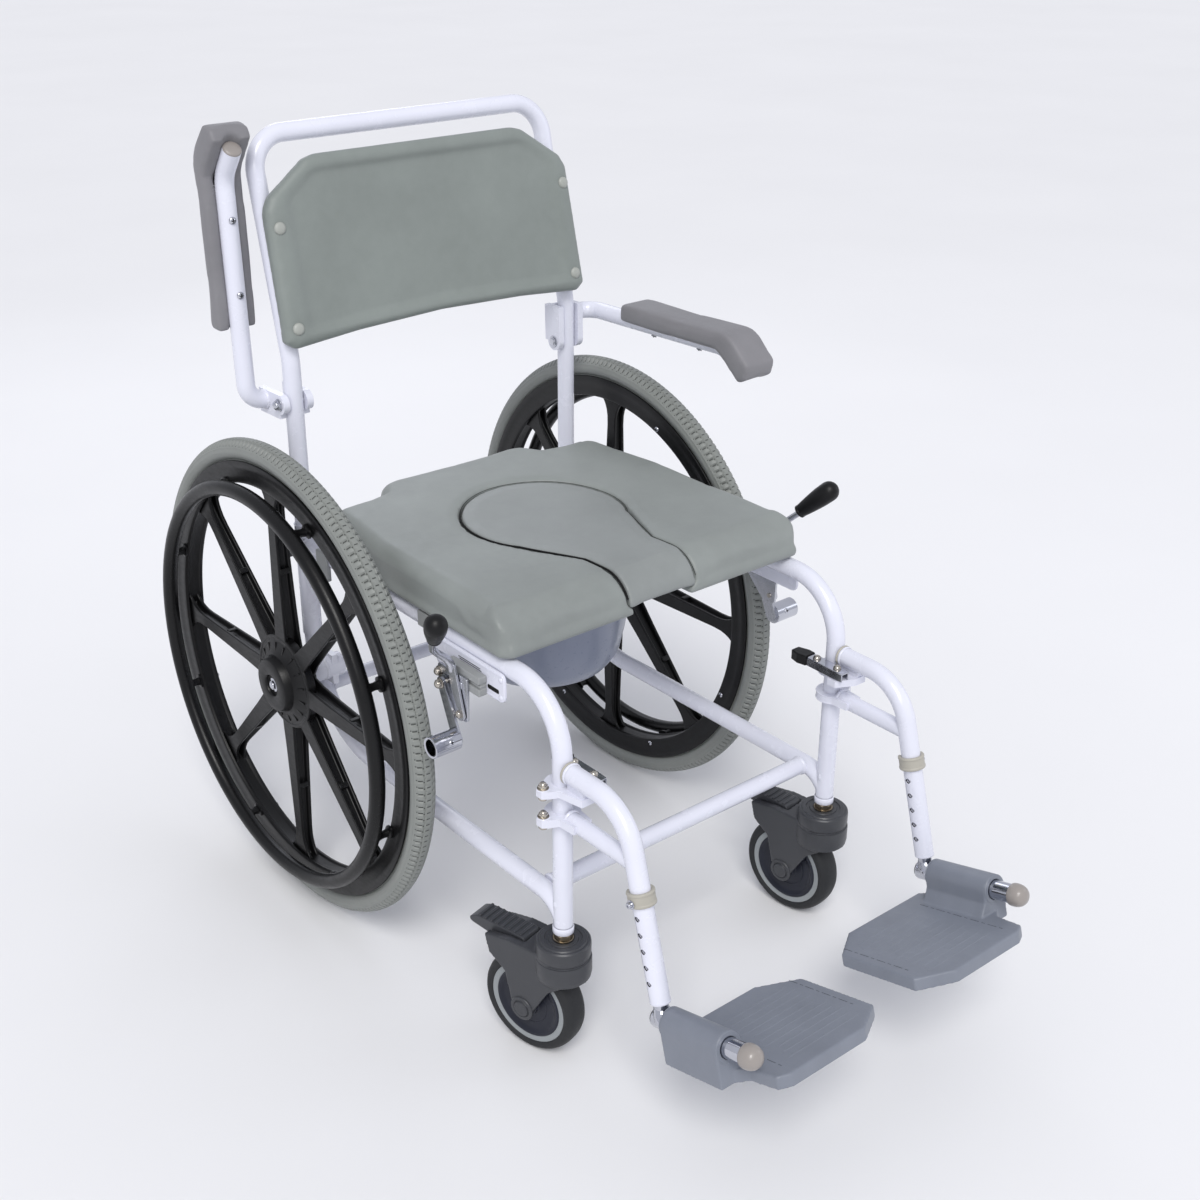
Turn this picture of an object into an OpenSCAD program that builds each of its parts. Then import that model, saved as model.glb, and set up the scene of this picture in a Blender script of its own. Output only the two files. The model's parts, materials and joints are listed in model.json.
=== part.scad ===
// Self-propelled commode chair: welded tube frame, padded seat with a keyhole insert, pan on
// runners, folding arms, swing-away footrests, push brakes and braked casters.
// Lengths are in mm, +Z is up, the sitter faces -Y, and "right" is the sitter's right, at -X.

/* [Wheels] */
// Outside radius of a drive wheel tyre, a nominal 24 inch wheel
wheel_r = 305; // [280:1:320]
// Distance from the mid-plane to the middle of a tyre
wheel_x = 262; // [240:1:290]
// Width of a tyre section
tyre_w = 30; // [24:1:44]
// Radius where the tyre sits on the rim
rim_r = 278; // [260:1:290]
// Inner radius of the rim
rim_in_r = 252; // [240:1:270]
// Number of spokes
spoke_n = 8; // [6:1:10]
// Width of a spoke at the hub
spoke_w = 25; // [14:1:34]
// Radius of the hub barrel
hub_r = 29; // [22:1:40]
// Radius of the handrim centreline
handrim_r = 251.5; // [235:0.5:270]
// Distance from the mid-plane to the handrim centreline
handrim_x = 297; // [290:1:310]
// Handrim tube radius
handrim_tube_r = 9.5; // [7:0.5:12]
// Axle diameter
axle_d = 12; // [10:0.5:16]

/* [Frame] */
// Distance from the mid-plane to the side frame tubes
side_x = 205.5; // [190:0.5:230]
// Outside diameter of the frame tube
tube_d = 22; // [19:0.5:28]
// Outside diameter of the rear posts the back bow plugs into
post_d = 24.4; // [23:0.2:30]
// Distance of the front tubes ahead of the rear axle
front_y = 470.6; // [440:0.2:500]
// Distance of the rear posts behind the rear axle
post_y = 37.5; // [20:0.5:60]
// Height of the upper side rails
rail_z = 461.5; // [440:0.5:480]
// Height of the lower side rails
low_rail_z = 210; // [190:1:230]
// Bend radius at the front of the upper rails
front_bend_r = 70; // [55:1:90]
// Bend radius at the rear of the lower rails
rear_bend_r = 130; // [90:1:150]
// Height of the bottom of the front tubes
front_tube_z = 172; // [165:1:180]
// Height of the top of the rear posts
post_top_z = 488; // [470:1:520]
// Distance of the front cross tube ahead of the rear axle
cross_y = 436; // [420:1:450]

/* [Back] */
// Height where the back tubes lean back
lean_z = 695; // [660:1:720]
// Lean of the back, in degrees
lean_a = 12.6; // [0:0.1:20]
// Length of the leaning part, to the top bar centreline
lean_len = 253; // [220:1:280]
// Bend radius of the bow corners
bow_r = 42; // [30:1:60]
// Half width of the back panel at the bottom
panel_hw = 220; // [200:1:240]
// Height of the back panel along the lean
panel_h = 213; // [180:1:240]
// Thickness of the back panel
panel_t = 20; // [14:1:40]

/* [Seat] */
// Half width of the seat
seat_hw = 222; // [205:1:235]
// Distance of the seat front edge ahead of the rear axle
seat_front = 396; // [370:1:420]
// Underside height of the seat
seat_z = 474; // [470:1:485]
// Top height of the seat
seat_top = 524; // [505:1:540]
// Radius of the rolled front edge
seat_roll = 44; // [20:1:48]
// Radius of the round part of the seat opening
hole_r = 101; // [85:1:115]
// Distance of the opening centre ahead of the rear axle
hole_y = 178; // [150:1:210]
// Half width of the opening neck
neck_hw = 50; // [35:1:65]
// Radius of the pan under its rim
pan_r = 116; // [100:1:125]
// Height of the bottom of the pan
pan_z = 312; // [280:1:340]
// Distance of the pan centre ahead of the rear axle
pan_y = 170; // [150:1:200]

/* [Arms] */
// Height of the arm pivots
arm_z = 643; // [620:1:670]
// Distance from the mid-plane to the arm tubes
arm_x = 248.4; // [240:0.2:260]
// Height of the arm tube over its pivot when lowered
arm_up = 34; // [28:1:44]
// Distance of the arm tube front bend ahead of the rear axle
arm_bend_y = 225; // [200:1:250]
// Rise of a lowered arm towards the front, in degrees
arm_rise = 1.5; // [0:0.1:5]
// Angle of the right arm as set, where 0 is level and 90 is upright
arm_set_right = 91.5; // [0:0.5:95]
// Width of an arm pad
pad_w = 49; // [40:1:60]

/* [Footrests] */
// Lean of the footrest legs from upright, in degrees
leg_a = 16; // [5:1:25]
// Distance of the footplate hinge elbow ahead of the rear axle
foot_y = 635.5; // [600:0.5:670]
// Height of the footplate hinge elbow
foot_z = 158.3; // [130:0.1:200]
// Height of the hanger top tube
hanger_z = 380; // [365:1:395]
// Height of the middle of the upper hanger ring
ring_up_z = 359; // [350:1:362]
// Height of the middle of the lower hanger ring and its strut
ring_low_z = 324; // [310:1:330]
// Bend radius of the hanger tube
hanger_r = 60; // [45:1:80]
// Footplate reach inboard of its hinge
plate_w = 174; // [140:1:190]
// Footplate length along its hinge
plate_l = 157; // [130:1:180]
// Thickness of a footplate
plate_t = 15; // [8:1:20]
// Length of the footplate hinge tube
hinge_l = 136; // [110:1:150]

/* [Casters] */
// Radius of a caster wheel
caster_r = 62.5; // [50:0.5:75]
// Width of a caster wheel
caster_w = 32; // [24:1:40]
// Trail of a caster
caster_trail = 40; // [30:1:55]
// Swivel of the right caster as set, in degrees
swivel_right = 15; // [-180:1:180]
// Swivel of the left caster as set, in degrees
swivel_left = 8; // [-180:1:180]

/* [Brakes] */
// Distance of the brake lever pivot ahead of the rear axle
brake_y = 334; // [320:1:350]
// Height of the brake lever pivot
brake_z = 395; // [380:1:410]
// Distance of the brake roller ahead of the rear axle
roller_y = 331; // [325:1:350]
// Height of the brake roller
roller_z = 365; // [350:1:380]
// Brake roller radius
roller_r = 12.5; // [8:0.5:15]

/* [Hidden] */
$fn = 64;
tr = tube_d / 2;
pr = post_d / 2;
fit = 0.1;
lap = 0.8;
rear_c = post_y - rear_bend_r;
leg_s = sin(leg_a);
leg_c = cos(leg_a);
bend_t = hanger_r * tan((90 - leg_a) / 2);
leg_top = (hanger_z - foot_z) / leg_c;
clip_d = 137;
axle_y = (foot_y + (plate_l - 7) * leg_c + (25 + plate_t) * leg_s - wheel_r) / 2;
arm_pin_y = 305;
arm_pin_z = 422;
hole_pitch = 18;

// Everything is laid out from the rear axle, then moved so the footprint is centred.
module place() translate([0, axle_y, 0]) children();
// Left pieces are drawn at +X and the right ones are their mirror image.
module right() mirror([1, 0, 0]) children();
module along_x(x0, x1, y, z, r)
    translate([x0, y, z]) rotate([0, 90, 0]) cylinder(r = r, h = x1 - x0);
module along_y(y0, y1, x, z, r)
    translate([x, y1, z]) rotate([90, 0, 0]) cylinder(r = r, h = y1 - y0);
module along_z(z0, z1, x, y, r)
    translate([x, y, z0]) cylinder(r = r, h = z1 - z0);
module box(x0, x1, y0, y1, z0, z1)
    translate([x0, y0, z0]) cube([x1 - x0, y1 - y0, z1 - z0]);
// A pipe bend in a YZ plane, centred on y, z, from angle a0 through a degrees. It is a hair
// thinner than the pipe, and the straights run over its ends by lap.
module bend_yz(x, y, z, r, a0, a)
    translate([x, y, z]) rotate([90, 0, 90]) rotate([0, 0, a0])
        rotate_extrude(angle = a) translate([r, 0]) circle(r = tr - 0.06);
module plate_x(x0, x1) translate([x0, 0, 0]) rotate([90, 0, 90])
    linear_extrude(height = x1 - x0) children();

module side_frame() {
    difference() {
        union() {
            along_z(front_tube_z + 10, rail_z - front_bend_r + lap, side_x, -front_y, tr);
            along_z(front_tube_z, front_tube_z + 11, side_x, -front_y, tr - 1);
            bend_yz(side_x, -front_y + front_bend_r, rail_z - front_bend_r, front_bend_r, 90, 90);
            along_y(-front_y + front_bend_r - lap, post_y, side_x, rail_z, tr);
            along_y(-cross_y - lap, rear_c + lap, side_x, low_rail_z, tr);
            bend_yz(side_x, -cross_y, low_rail_z - 40, 40, 90, 60);
            along_x(side_x - 14, wheel_x - 23, 0, wheel_r, 15);
            box(side_x - 4, side_x + 4, -13, 34, wheel_r - 20, wheel_r + 20);
            bend_yz(side_x, rear_c, low_rail_z + rear_bend_r, rear_bend_r, -90, 90);
            along_z(low_rail_z + rear_bend_r - lap, post_top_z, side_x, post_y, pr);
        }
        along_z(post_top_z - 88, post_top_z + 1, side_x, post_y, tr - 0.5);
        box(side_x + 6, side_x + 20, post_y - 1, post_y + 1, post_top_z - 30, post_top_z + 1);
        along_x(side_x - 20, wheel_x, 0, wheel_r, axle_d / 2 + 0.05);
    }
}

module cross_tubes_shape() {
    along_x(-side_x + tr - 2, side_x - tr + 2, -cross_y, low_rail_z + 1, tr - 0.4);
    along_x(-side_x + tr - 2, side_x - tr + 2, 17, 270, tr - 1.5);
}

module axle() {
    along_x(side_x - 17, wheel_x + 25, 0, wheel_r, axle_d / 2);
    along_x(side_x - 21, side_x - 14.1, 0, wheel_r, 9);
    along_x(wheel_x + 24, wheel_x + 27.5, 0, wheel_r, 9);
}

module back_bow_shape() {
    c = lean_len - bow_r;
    difference() {
        union() {
            for (s = [-1, 1]) {
                along_z(post_top_z - 87, post_top_z + 4, s * side_x, post_y, tr - 0.6);
                along_z(post_top_z + 0.1, lean_z - 8 + lap, s * side_x, post_y, tr);
                bend_yz(s * side_x, post_y + 72.4, lean_z - 8, 72.4, 180 - lean_a, lean_a);
            }
            translate([0, post_y, lean_z]) rotate([-lean_a, 0, 0]) {
                for (s = [-1, 1]) {
                    along_z(8 - lap, c + lap, s * side_x, 0, tr);
                    translate([s * (side_x - bow_r), 0, c]) rotate([90, 0, 0])
                        rotate([0, 0, s > 0 ? 0 : 90]) rotate_extrude(angle = 90)
                            translate([bow_r, 0]) circle(r = tr - 0.06);
                }
                along_x(-side_x + bow_r - lap, side_x - bow_r + lap, 0, lean_len, tr);
            }
        }
        along_x(-side_x - 20, side_x + 20, post_y, arm_z, 4.1);
    }
}

module panel_outline() polygon([[-panel_hw, 9], [-panel_hw + 12, 0], [-120, 7], [0, 11],
    [120, 7], [panel_hw - 12, 0], [panel_hw, 9], [panel_hw - 4, 157], [panel_hw - 12, 172],
    [155, panel_h - 4], [140, panel_h], [-140, panel_h], [-155, panel_h - 4],
    [-panel_hw + 12, 172], [-panel_hw + 4, 157]]);

module backrest_panel_shape()
    translate([0, post_y, lean_z]) rotate([-lean_a, 0, 0])
        translate([0, -tr - 0.2, 12]) rotate([90, 0, 0])
            linear_extrude(height = panel_t) panel_outline();

module panel_caps_shape()
    translate([0, post_y, lean_z]) rotate([-lean_a, 0, 0])
        for (s = [-1, 1]) for (z = [35, 149])
            translate([s * (side_x - 1.5), -tr - 0.2 - panel_t, z]) rotate([90, 0, 0]) {
                cylinder(r = 6, h = 2);
                cylinder(r = 4.2, h = 3.2);
            }

module insert_outline(o) {
    translate([0, -hole_y]) circle(r = hole_r + o);
    polygon([[-neck_hw - o, -seat_front - 2], [neck_hw + o, -seat_front - 2],
        [neck_hw + o, -318], [86 + o, -236], [60, -180], [-60, -180], [-86 - o, -236],
        [-neck_hw - o, -318]]);
}

module seat_outline() polygon([[-seat_hw, -seat_front + 12], [-seat_hw + 12, -seat_front],
    [seat_hw - 12, -seat_front], [seat_hw, -seat_front + 12], [seat_hw - 2, -150],
    [208, -34], [198, -20], [150, -14], [128, -8], [118, 6], [108, 18], [90, 23], [-90, 23],
    [-108, 18], [-118, 6], [-128, -8], [-150, -14], [-198, -20], [-208, -34],
    [-seat_hw + 2, -150]]);

module seat_side() {
    translate([-seat_front + seat_roll, seat_top - seat_roll]) circle(r = seat_roll);
    translate([-seat_front, seat_z - 1]) square([seat_roll, seat_top - seat_roll - seat_z + 1]);
    translate([-seat_front + seat_roll, seat_z - 1])
        square([seat_front + 30 - seat_roll, seat_top - seat_z + 1]);
}

module seat_pad_shape() {
    difference() {
        intersection() {
            translate([0, 0, seat_z]) linear_extrude(height = seat_top - seat_z) seat_outline();
            plate_x(-seat_hw - 5, seat_hw + 5) seat_side();
        }
        translate([0, 0, seat_z + 10]) linear_extrude(height = 80) insert_outline(0.4);
        translate([0, 0, seat_z - 5]) linear_extrude(height = 80) insert_outline(-9);
    }
}

module seat_insert_shape() {
    intersection() {
        translate([0, 0, seat_z + 10.4]) linear_extrude(height = seat_top - seat_z - 11.4)
            insert_outline(-0.2);
        plate_x(-seat_hw, seat_hw) seat_side();
    }
}

module seat_clips_shape() {
    for (s = [-1, 1]) for (y = [-24, -240]) difference() {
        box(s * side_x - 15, s * side_x + 15, y - 12, y + 12, rail_z - 24, seat_z);
        along_y(y - 13, y + 13, s * side_x, rail_z, tr + 0.1);
        box(s * side_x - 8, s * side_x + 8, y - 13, y + 13, rail_z - 25, rail_z);
    }
}

module pan_runners_shape() {
    for (s = [-1, 1]) difference() {
        box(s * 141 - 11, s * 141 + 11, -pan_y - 140, 10, seat_z - 26, seat_z);
        box(s * 133 - 8.5, s * 133 + 8.5, -pan_y - 130, 11, seat_z - 20, seat_z - 10);
    }
}

module commode_pan_shape() {
    translate([0, -pan_y, 0]) {
        difference() {
            union() {
                rotate_extrude() polygon([[0, pan_z], [66, pan_z], [84, pan_z + 8], [98, pan_z + 28],
                    [pan_r, seat_z - 18], [132, seat_z - 18], [132, seat_z - 13], [0, seat_z - 13]]);
                box(-134, 134, -120, 120, seat_z - 18, seat_z - 13);
                box(-40, 40, 119, 150, seat_z - 18, seat_z - 13);
            }
            rotate_extrude() polygon([[0, pan_z + 3], [65, pan_z + 3], [82, pan_z + 11],
                [95, pan_z + 29], [pan_r - 3, seat_z - 12], [0, seat_z - 12]]);
        }
    }
}

module brake_rail() difference() {
    plate_x(side_x + tr + 0.05, side_x + tr + 4) difference() {
        translate([-392, 425]) square([126, 34]);
        translate([-382, 434]) square([100, 5]);
    }
}

module brake_clamp() difference() {
    box(side_x + tr + 4.1, side_x + tr + 15, -362, -300, 424, 448);
    along_x(side_x, side_x + 40, -331, 436, 2.5);
}

module brake_plate() {
    x = side_x + tr + 15.1;
    plate_x(x, x + 3.4)
        polygon([[-343, 386], [-322, 386], [-296, 412], [-290, 420], [-290, 440], [-345, 440]]);
    along_x(x - 1, x + 6, -brake_y, brake_z, 3);
    along_x(x + 3.3, x + 11, -arm_pin_y, arm_pin_z, 3);
    along_x(x + 10.9, x + 14, -arm_pin_y, arm_pin_z, 5.5);
    translate([x + 13, -arm_pin_y, arm_pin_z]) sphere(r = 4);
    along_x(x + 3.3, x + 7, -293, 428, 5.5);
    translate([x + 6, -293, 428]) sphere(r = 4);
}

module brake_lever() {
    x = side_x + tr + 19;
    difference() {
        plate_x(x, x + 3) {
            translate([-brake_y, brake_z]) circle(r = 8);
            polygon([[-342, 395], [-326, 395], [-313, 448], [-327, 452]]);
        }
        along_x(x - 1, x + 5, -brake_y, brake_z, 3.05);
    }
    hull() {
        translate([x + 1.5, -320, 448]) sphere(r = 5, $fn = 24);
        translate([x + 24, -318, 474]) sphere(r = 4, $fn = 24);
    }
    hull() {
        translate([x + 24, -318, 474]) sphere(r = 4, $fn = 24);
        translate([x + 33, -336, 494]) sphere(r = 4, $fn = 24);
    }
}

module brake_knob() {
    x = side_x + tr + 19;
    a = [x + 33, -337, 496];
    b = [x + 52, -370, 531];
    d = b - a;
    l = norm(d);
    translate(a) rotate([0, acos(d[2] / l), atan2(d[1], d[0])]) {
        translate([0, 0, 3.8]) cylinder(r1 = 7.5, r2 = 11.2, h = l - 3.8);
        translate([0, 0, l]) sphere(r = 11.5);
    }
}

module brake_roller() {
    x = side_x + tr + 22.5;
    difference() {
        plate_x(x, x + 3) {
            translate([-arm_pin_y, arm_pin_z]) circle(r = 7.5);
            translate([-roller_y, roller_z]) circle(r = 9);
            polygon([[-arm_pin_y - 7.2, arm_pin_z - 2], [-arm_pin_y + 7.2, arm_pin_z - 1],
                [-roller_y + 9, roller_z - 1], [-roller_y - 9, roller_z + 1]]);
        }
        along_x(x - 1, x + 5, -arm_pin_y, arm_pin_z, 3.05);
    }
    difference() {
        along_x(x + 2.9, wheel_x + 14, -roller_y, roller_z, roller_r);
        along_x(x + 8, wheel_x + 15, -roller_y, roller_z, roller_r - 3.5);
    }
}

module arm_pivot() {
    along_x(side_x - 20.5, side_x + 23, post_y, arm_z, 4);
    along_x(side_x - 23, side_x - 20.3, post_y, arm_z, 6.5);
    along_x(side_x + 20.3, side_x + 24, post_y, arm_z, 6.5);
    translate([side_x + 23.5, post_y, arm_z]) sphere(r = 4.6);
}

module set_arm(a) translate([0, post_y, arm_z]) rotate([-a, 0, 0]) children();

module arm_tube() {
    yb = -post_y - arm_bend_y;
    r = 40;
    t = r * tan(20);
    difference() {
        union() {
            for (x = [side_x - 20, side_x + 11.6]) plate_x(x, x + 8.4) {
                circle(r = 12);
                translate([-12, 0]) square([29.5, 47]);
            }
            box(side_x - 19, side_x + 19, 11.6, 16.5, 12, 46);
            along_x(side_x + 15, arm_x - 22 + lap, 0, arm_up, tr);
            translate([arm_x - 22, -22, arm_up]) rotate_extrude(angle = 90)
                translate([22, 0]) circle(r = tr - 0.06);
            along_y(yb + t - lap, -22 + lap, arm_x, arm_up, tr);
            bend_yz(arm_x, yb + t, arm_up - r, r, 90, 40);
            translate([arm_x, yb, arm_up]) rotate([130, 0, 0]) translate([0, 0, t - lap])
                cylinder(r = tr, h = 42 - t + lap);
        }
        along_x(side_x - 30, side_x + 30, 0, 0, 4.05);
    }
}

module arm_pad() {
    difference() {
        plate_x(arm_x - pad_w / 2, arm_x + pad_w / 2)
            polygon([[-88, 36], [-264, 36], [-272, 31], [-306, 2], [-318, 8], [-322, 26],
                [-297, 50], [-288, 56], [-277, 59], [-92, 59], [-88, 55]]);
        along_y(-post_y - arm_bend_y + 12, -60, arm_x, arm_up, tr + 0.05);
        translate([arm_x, -post_y - arm_bend_y, arm_up]) rotate([130, 0, 0])
            translate([0, 0, -14]) cylinder(r = tr + 0.05, h = 90);
    }
}

module arm_fixings() {
    for (y = [-130, -215]) along_z(arm_up - 13.5, arm_up - tr + 0.5, arm_x, y, 3.6);
    translate([arm_x, -post_y - arm_bend_y, arm_up]) rotate([130, 0, 0])
        translate([0, 0, 42.1]) cylinder(r1 = tr - 0.3, r2 = tr - 1.5, h = 3.5);
}

module spokes() {
    h = spoke_w / 2;
    for (i = [0 : spoke_n - 1]) rotate([i * 360 / spoke_n, 0, 0]) intersection() {
        translate([wheel_x - 20, 0, 0]) rotate([90, 0, 90]) linear_extrude(height = 40)
            polygon([[20, -h], [222, -h + 4], [240, -h + 1], [250, -h - 8], [256, -h - 22],
                [256, h + 22], [250, h + 8], [240, h - 1], [222, h - 4], [20, h]]);
        rotate([0, -90, -90]) translate([0, 0, -60]) linear_extrude(height = 120)
            polygon([[10, wheel_x - 14], [60, wheel_x - 13], [262, wheel_x - 7],
                [262, wheel_x + 7], [60, wheel_x + 10], [10, wheel_x + 10]]);
    }
}

module wheel() translate([0, 0, wheel_r]) difference() {
    union() {
        rotate([0, 90, 0]) rotate_extrude() polygon([[rim_in_r, wheel_x - 13],
            [rim_r - 8, wheel_x - 14], [rim_r, wheel_x - 12], [rim_r, wheel_x + 12],
            [rim_r - 8, wheel_x + 14], [rim_in_r, wheel_x + 13]]);
        spokes();
        rotate([0, 90, 0]) rotate_extrude() polygon([[0, wheel_x - 22], [hub_r, wheel_x - 22],
            [hub_r + 2, wheel_x - 8], [58, wheel_x - 4], [62, wheel_x + 9], [hub_r + 6, wheel_x + 16],
            [hub_r + 5, wheel_x + 26], [hub_r, wheel_x + 28], [0, wheel_x + 28]]);
    }
    along_x(wheel_x - 40, wheel_x + 40, 0, 0, axle_d / 2 + fit / 2);
    along_x(wheel_x + 23, wheel_x + 40, 0, 0, 13);
}

module tyre() translate([0, 0, wheel_r]) rotate([0, 90, 0]) rotate_extrude() {
    translate([rim_r, wheel_x - tyre_w / 2]) square([wheel_r - rim_r - tyre_w / 2, tyre_w]);
    intersection() {
        translate([wheel_r - tyre_w / 2, wheel_x]) circle(r = tyre_w / 2);
        translate([rim_r, wheel_x - tyre_w]) square([tyre_w, 2 * tyre_w]);
    }
}

module handrim() translate([0, 0, wheel_r]) {
    rotate([0, 90, 0]) rotate_extrude() translate([handrim_r, handrim_x]) circle(r = handrim_tube_r);
    for (i = [0 : spoke_n - 1]) rotate([(i + 0.5) * 360 / spoke_n, 0, 0])
        along_x(wheel_x + 13.8, handrim_x - 4, 0, handrim_r + 3, 6);
}

module caster_stem() {
    along_z(120, front_tube_z, side_x, -front_y, 6);
    translate([side_x, -front_y, 163]) cylinder(r = 11, h = front_tube_z - 163, $fn = 6);
}

// Caster pieces are drawn about their swivel axis, trailing towards +Y.
module set_caster(a) translate([side_x, -front_y, 0]) rotate([0, 0, a]) children();
module cheek() polygon([[-16, 116], [-16, 146], [60, 148], [92, 143], [86, 120], [64, 104],
    [54, 62], [48, 53], [40, 50], [31, 55], [4, 100], [-12, 112]]);
module caster_fork() {
    difference() {
        union() {
            along_z(145, 162, 0, 0, 30);
            along_z(116, 146, 0, 0, 31);
            plate_x(-25, 25) cheek();
        }
        along_x(-19, 19, caster_trail, caster_r, caster_r + 3);
        along_z(100, 170, 0, 0, 6 + fit / 2);
        box(-19, 19, 40, 120, 40, 128);
        box(-15, 15, 42, 130, 127, 160);
        along_x(-19.3, 19.3, 52, 142, 3.05);
        difference() {
            along_z(141, 144, 0, 0, 40);
            along_z(140, 145, 0, 0, 29);
            box(-40, 40, 0, 60, 130, 150);
        }
    }
    along_x(-25.5, 25.5, caster_trail, caster_r, 5);
    for (s = [-1, 1]) along_x(s > 0 ? 24.5 : -28, s > 0 ? 28 : -24.5, caster_trail, caster_r, 9);
}

module caster_pedal() {
    difference() {
        union() {
            plate_x(-14, 14) polygon([[44, 138], [44, 150], [108, 153], [122, 147], [118, 141],
                [74, 133], [50, 133]]);
            along_x(-19, 19, 52, 142, 3);
        }
        for (i = [0 : 6]) box(-12, 12, 50 + i * 9, 53 + i * 9, 150.2 + i * 0.3, 156);
    }
}

module caster_wheel() translate([0, caster_trail, caster_r]) difference() {
    union() {
        along_x(-14, 14, 0, 0, caster_r - 12);
        along_x(-17, 17, 0, 0, 14);
    }
    along_x(-20, 20, 0, 0, 5 + fit / 2);
}

module caster_tread() translate([0, caster_trail, caster_r]) rotate([0, 90, 0]) rotate_extrude()
    polygon([[caster_r - 12, -14], [caster_r - 6, -caster_w / 2], [caster_r - 2, -11],
        [caster_r, -6], [caster_r, 6], [caster_r - 2, 11], [caster_r - 6, caster_w / 2],
        [caster_r - 12, 14]]);

// Footrest pieces below the hanger are drawn about the footplate hinge elbow, leg along +Z.
module set_foot() translate([side_x, -foot_y, foot_z]) rotate([-leg_a, 0, 0]) children();

module ring(z, t) {
    along_z(z - t / 2, z + t / 2, 0, 0, 19);
    translate([0, 0, z - t / 2 + 0.2]) linear_extrude(height = t - 0.4)
        polygon([[12, -13], [24, -7.5], [30, -3], [30, 6], [24, 10], [12, 14]]);
}

module hanger() {
    y0 = -tr - 3.2;
    yk = -foot_y + front_y + (hanger_z - foot_z) * tan(leg_a);
    difference() {
        union() {
            translate([side_x, -front_y, 0]) {
                ring(ring_up_z, 9);
                ring(ring_low_z, 10);
                translate([0, 0, ring_up_z - 4.3]) linear_extrude(height = 8.6)
                    polygon([[0, -13], [-15, -12], [-31, -18], [-31, -30], [-8, -42],
                        [8, -42], [14, -13]]);
                translate([0, 0, ring_low_z - 4.8]) linear_extrude(height = 9.6)
                    polygon([[-14, -12.5], [-12, -34], [12, -34], [14, -12.5]]);
                box(-5, 5, -40, -14.3, ring_up_z, hanger_z - 5);
                along_y(yk + bend_t - lap, y0, 0, hanger_z, tr);
                bend_yz(0, yk + bend_t, hanger_z - hanger_r, hanger_r, 90, 90 - leg_a);
                along_y(yk - 13, -15, 0, ring_low_z, tr - 1.5);
            }
            translate([side_x, -foot_y, foot_z]) rotate([-leg_a, 0, 0])
                translate([0, 0, 20]) cylinder(r = tr, h = leg_top - bend_t - 20 + lap);
        }
        along_z(ring_low_z - 20, hanger_z + 20, side_x, -front_y, tr + fit / 2);
        translate([side_x, -foot_y, foot_z]) rotate([-leg_a, 0, 0]) {
            translate([0, 0, 10]) cylinder(r = 8.06, h = 155);
            for (i = [1 : 5]) along_x(-20, 20, 0, clip_d - 3 - i * hole_pitch, 3);
        }
        along_z(ring_up_z - 10, ring_up_z + 20, side_x - 22, -front_y - 24, 2.6);
    }
}

module hanger_bolts() translate([side_x, -front_y, 0]) {
    for (z = [ring_up_z - 4.5, ring_low_z - 5]) {
        along_z(z + 9.01 + (z < 340 ? 1 : 0), z + 13 + (z < 340 ? 1 : 0), 24, 2, 4.6);
        along_z(z + 12 + (z < 340 ? 1 : 0), z + 16 + (z < 340 ? 1 : 0), 24, 2, 2.8);
        along_z(z - 5, z - 0.01, 24, 2, 4.6);
    }
    difference() {
        along_y(-tr - 3.1, -tr + 2, 0, hanger_z, tr + 0.6);
        along_z(hanger_z - 20, hanger_z + 20, 0, 0, tr + 0.4);
    }
}

module leg_clip() translate([side_x, -foot_y, foot_z]) rotate([-leg_a, 0, 0]) {
    difference() {
        along_z(clip_d - 8, clip_d + 8, 0, 0, 15);
        along_z(clip_d - 9, clip_d + 9, 0, 0, tr + 0.1);
        box(-6, 6, 0, 20, clip_d - 9, clip_d + 9);
    }
    along_x(14.5, 19, 0, clip_d - 3, 3.4);
}

module latch() translate([side_x - 22, -front_y - 24, 0]) {
    difference() {
        translate([0, 0, ring_up_z + 5]) linear_extrude(height = 11)
            polygon([[-7, -14], [5, -14], [7.5, 4], [7, 42], [-7, 42], [-7.5, 0]]);
        translate([0, 0, ring_up_z + 4]) linear_extrude(height = 9.5)
            polygon([[-5.5, -16], [3.5, -16], [5.7, 4], [5.4, 44], [-5.4, 44], [-5.8, 0]]);
    }
    along_z(ring_up_z + 15.9, ring_up_z + 18, 0, 0, 4);
    along_z(ring_up_z - 5, ring_up_z + 16, 0, 0, 2.55);
    along_z(ring_up_z + 15.9, ring_up_z + 18, 0, 32, 4);
}

module latch_grip() translate([side_x - 22, -front_y - 24, ring_up_z + 4.8])
    linear_extrude(height = 12.5)
        polygon([[-8.5, 42.2], [8, 42.2], [8.5, 52], [4, 66], [-8, 66], [-11, 54]]);

module foot_stem() set_foot() {
    along_z(0, 160, 0, 0, 8);
    sphere(r = tr + 0.6);
    along_y(-hinge_l + 8, 0, 0, 0, tr);
    along_y(-hinge_l, -hinge_l + 13, 0, 0, 13.5);
    translate([0, -hinge_l + 0.1, 0]) rotate([90, 0, 0]) cylinder(r1 = 13, r2 = 8, h = 5);
}

module footplate() set_foot() difference() {
    union() {
        translate([0, 0, -25 - plate_t]) linear_extrude(height = plate_t)
            polygon([[17, -98], [17, -12], [2, -12], [-10, 7], [-plate_w + 42, 7],
                [-plate_w, -22], [-plate_w, -plate_l + 31], [-plate_w + 40, -plate_l + 7],
                [-30, -plate_l + 7], [-16, -plate_l + 14], [-12, -108], [0, -98]]);
        translate([0, -12, 0]) rotate([90, 0, 0]) linear_extrude(height = 86) {
            circle(r = 17);
            polygon([[17, 0], [17, -30], [-30, -30], [-25, -22], [-18, -12], [-17, 0]]);
        }
    }
    along_y(-140, 20, 0, 0, tr + fit / 2);
}

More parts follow.
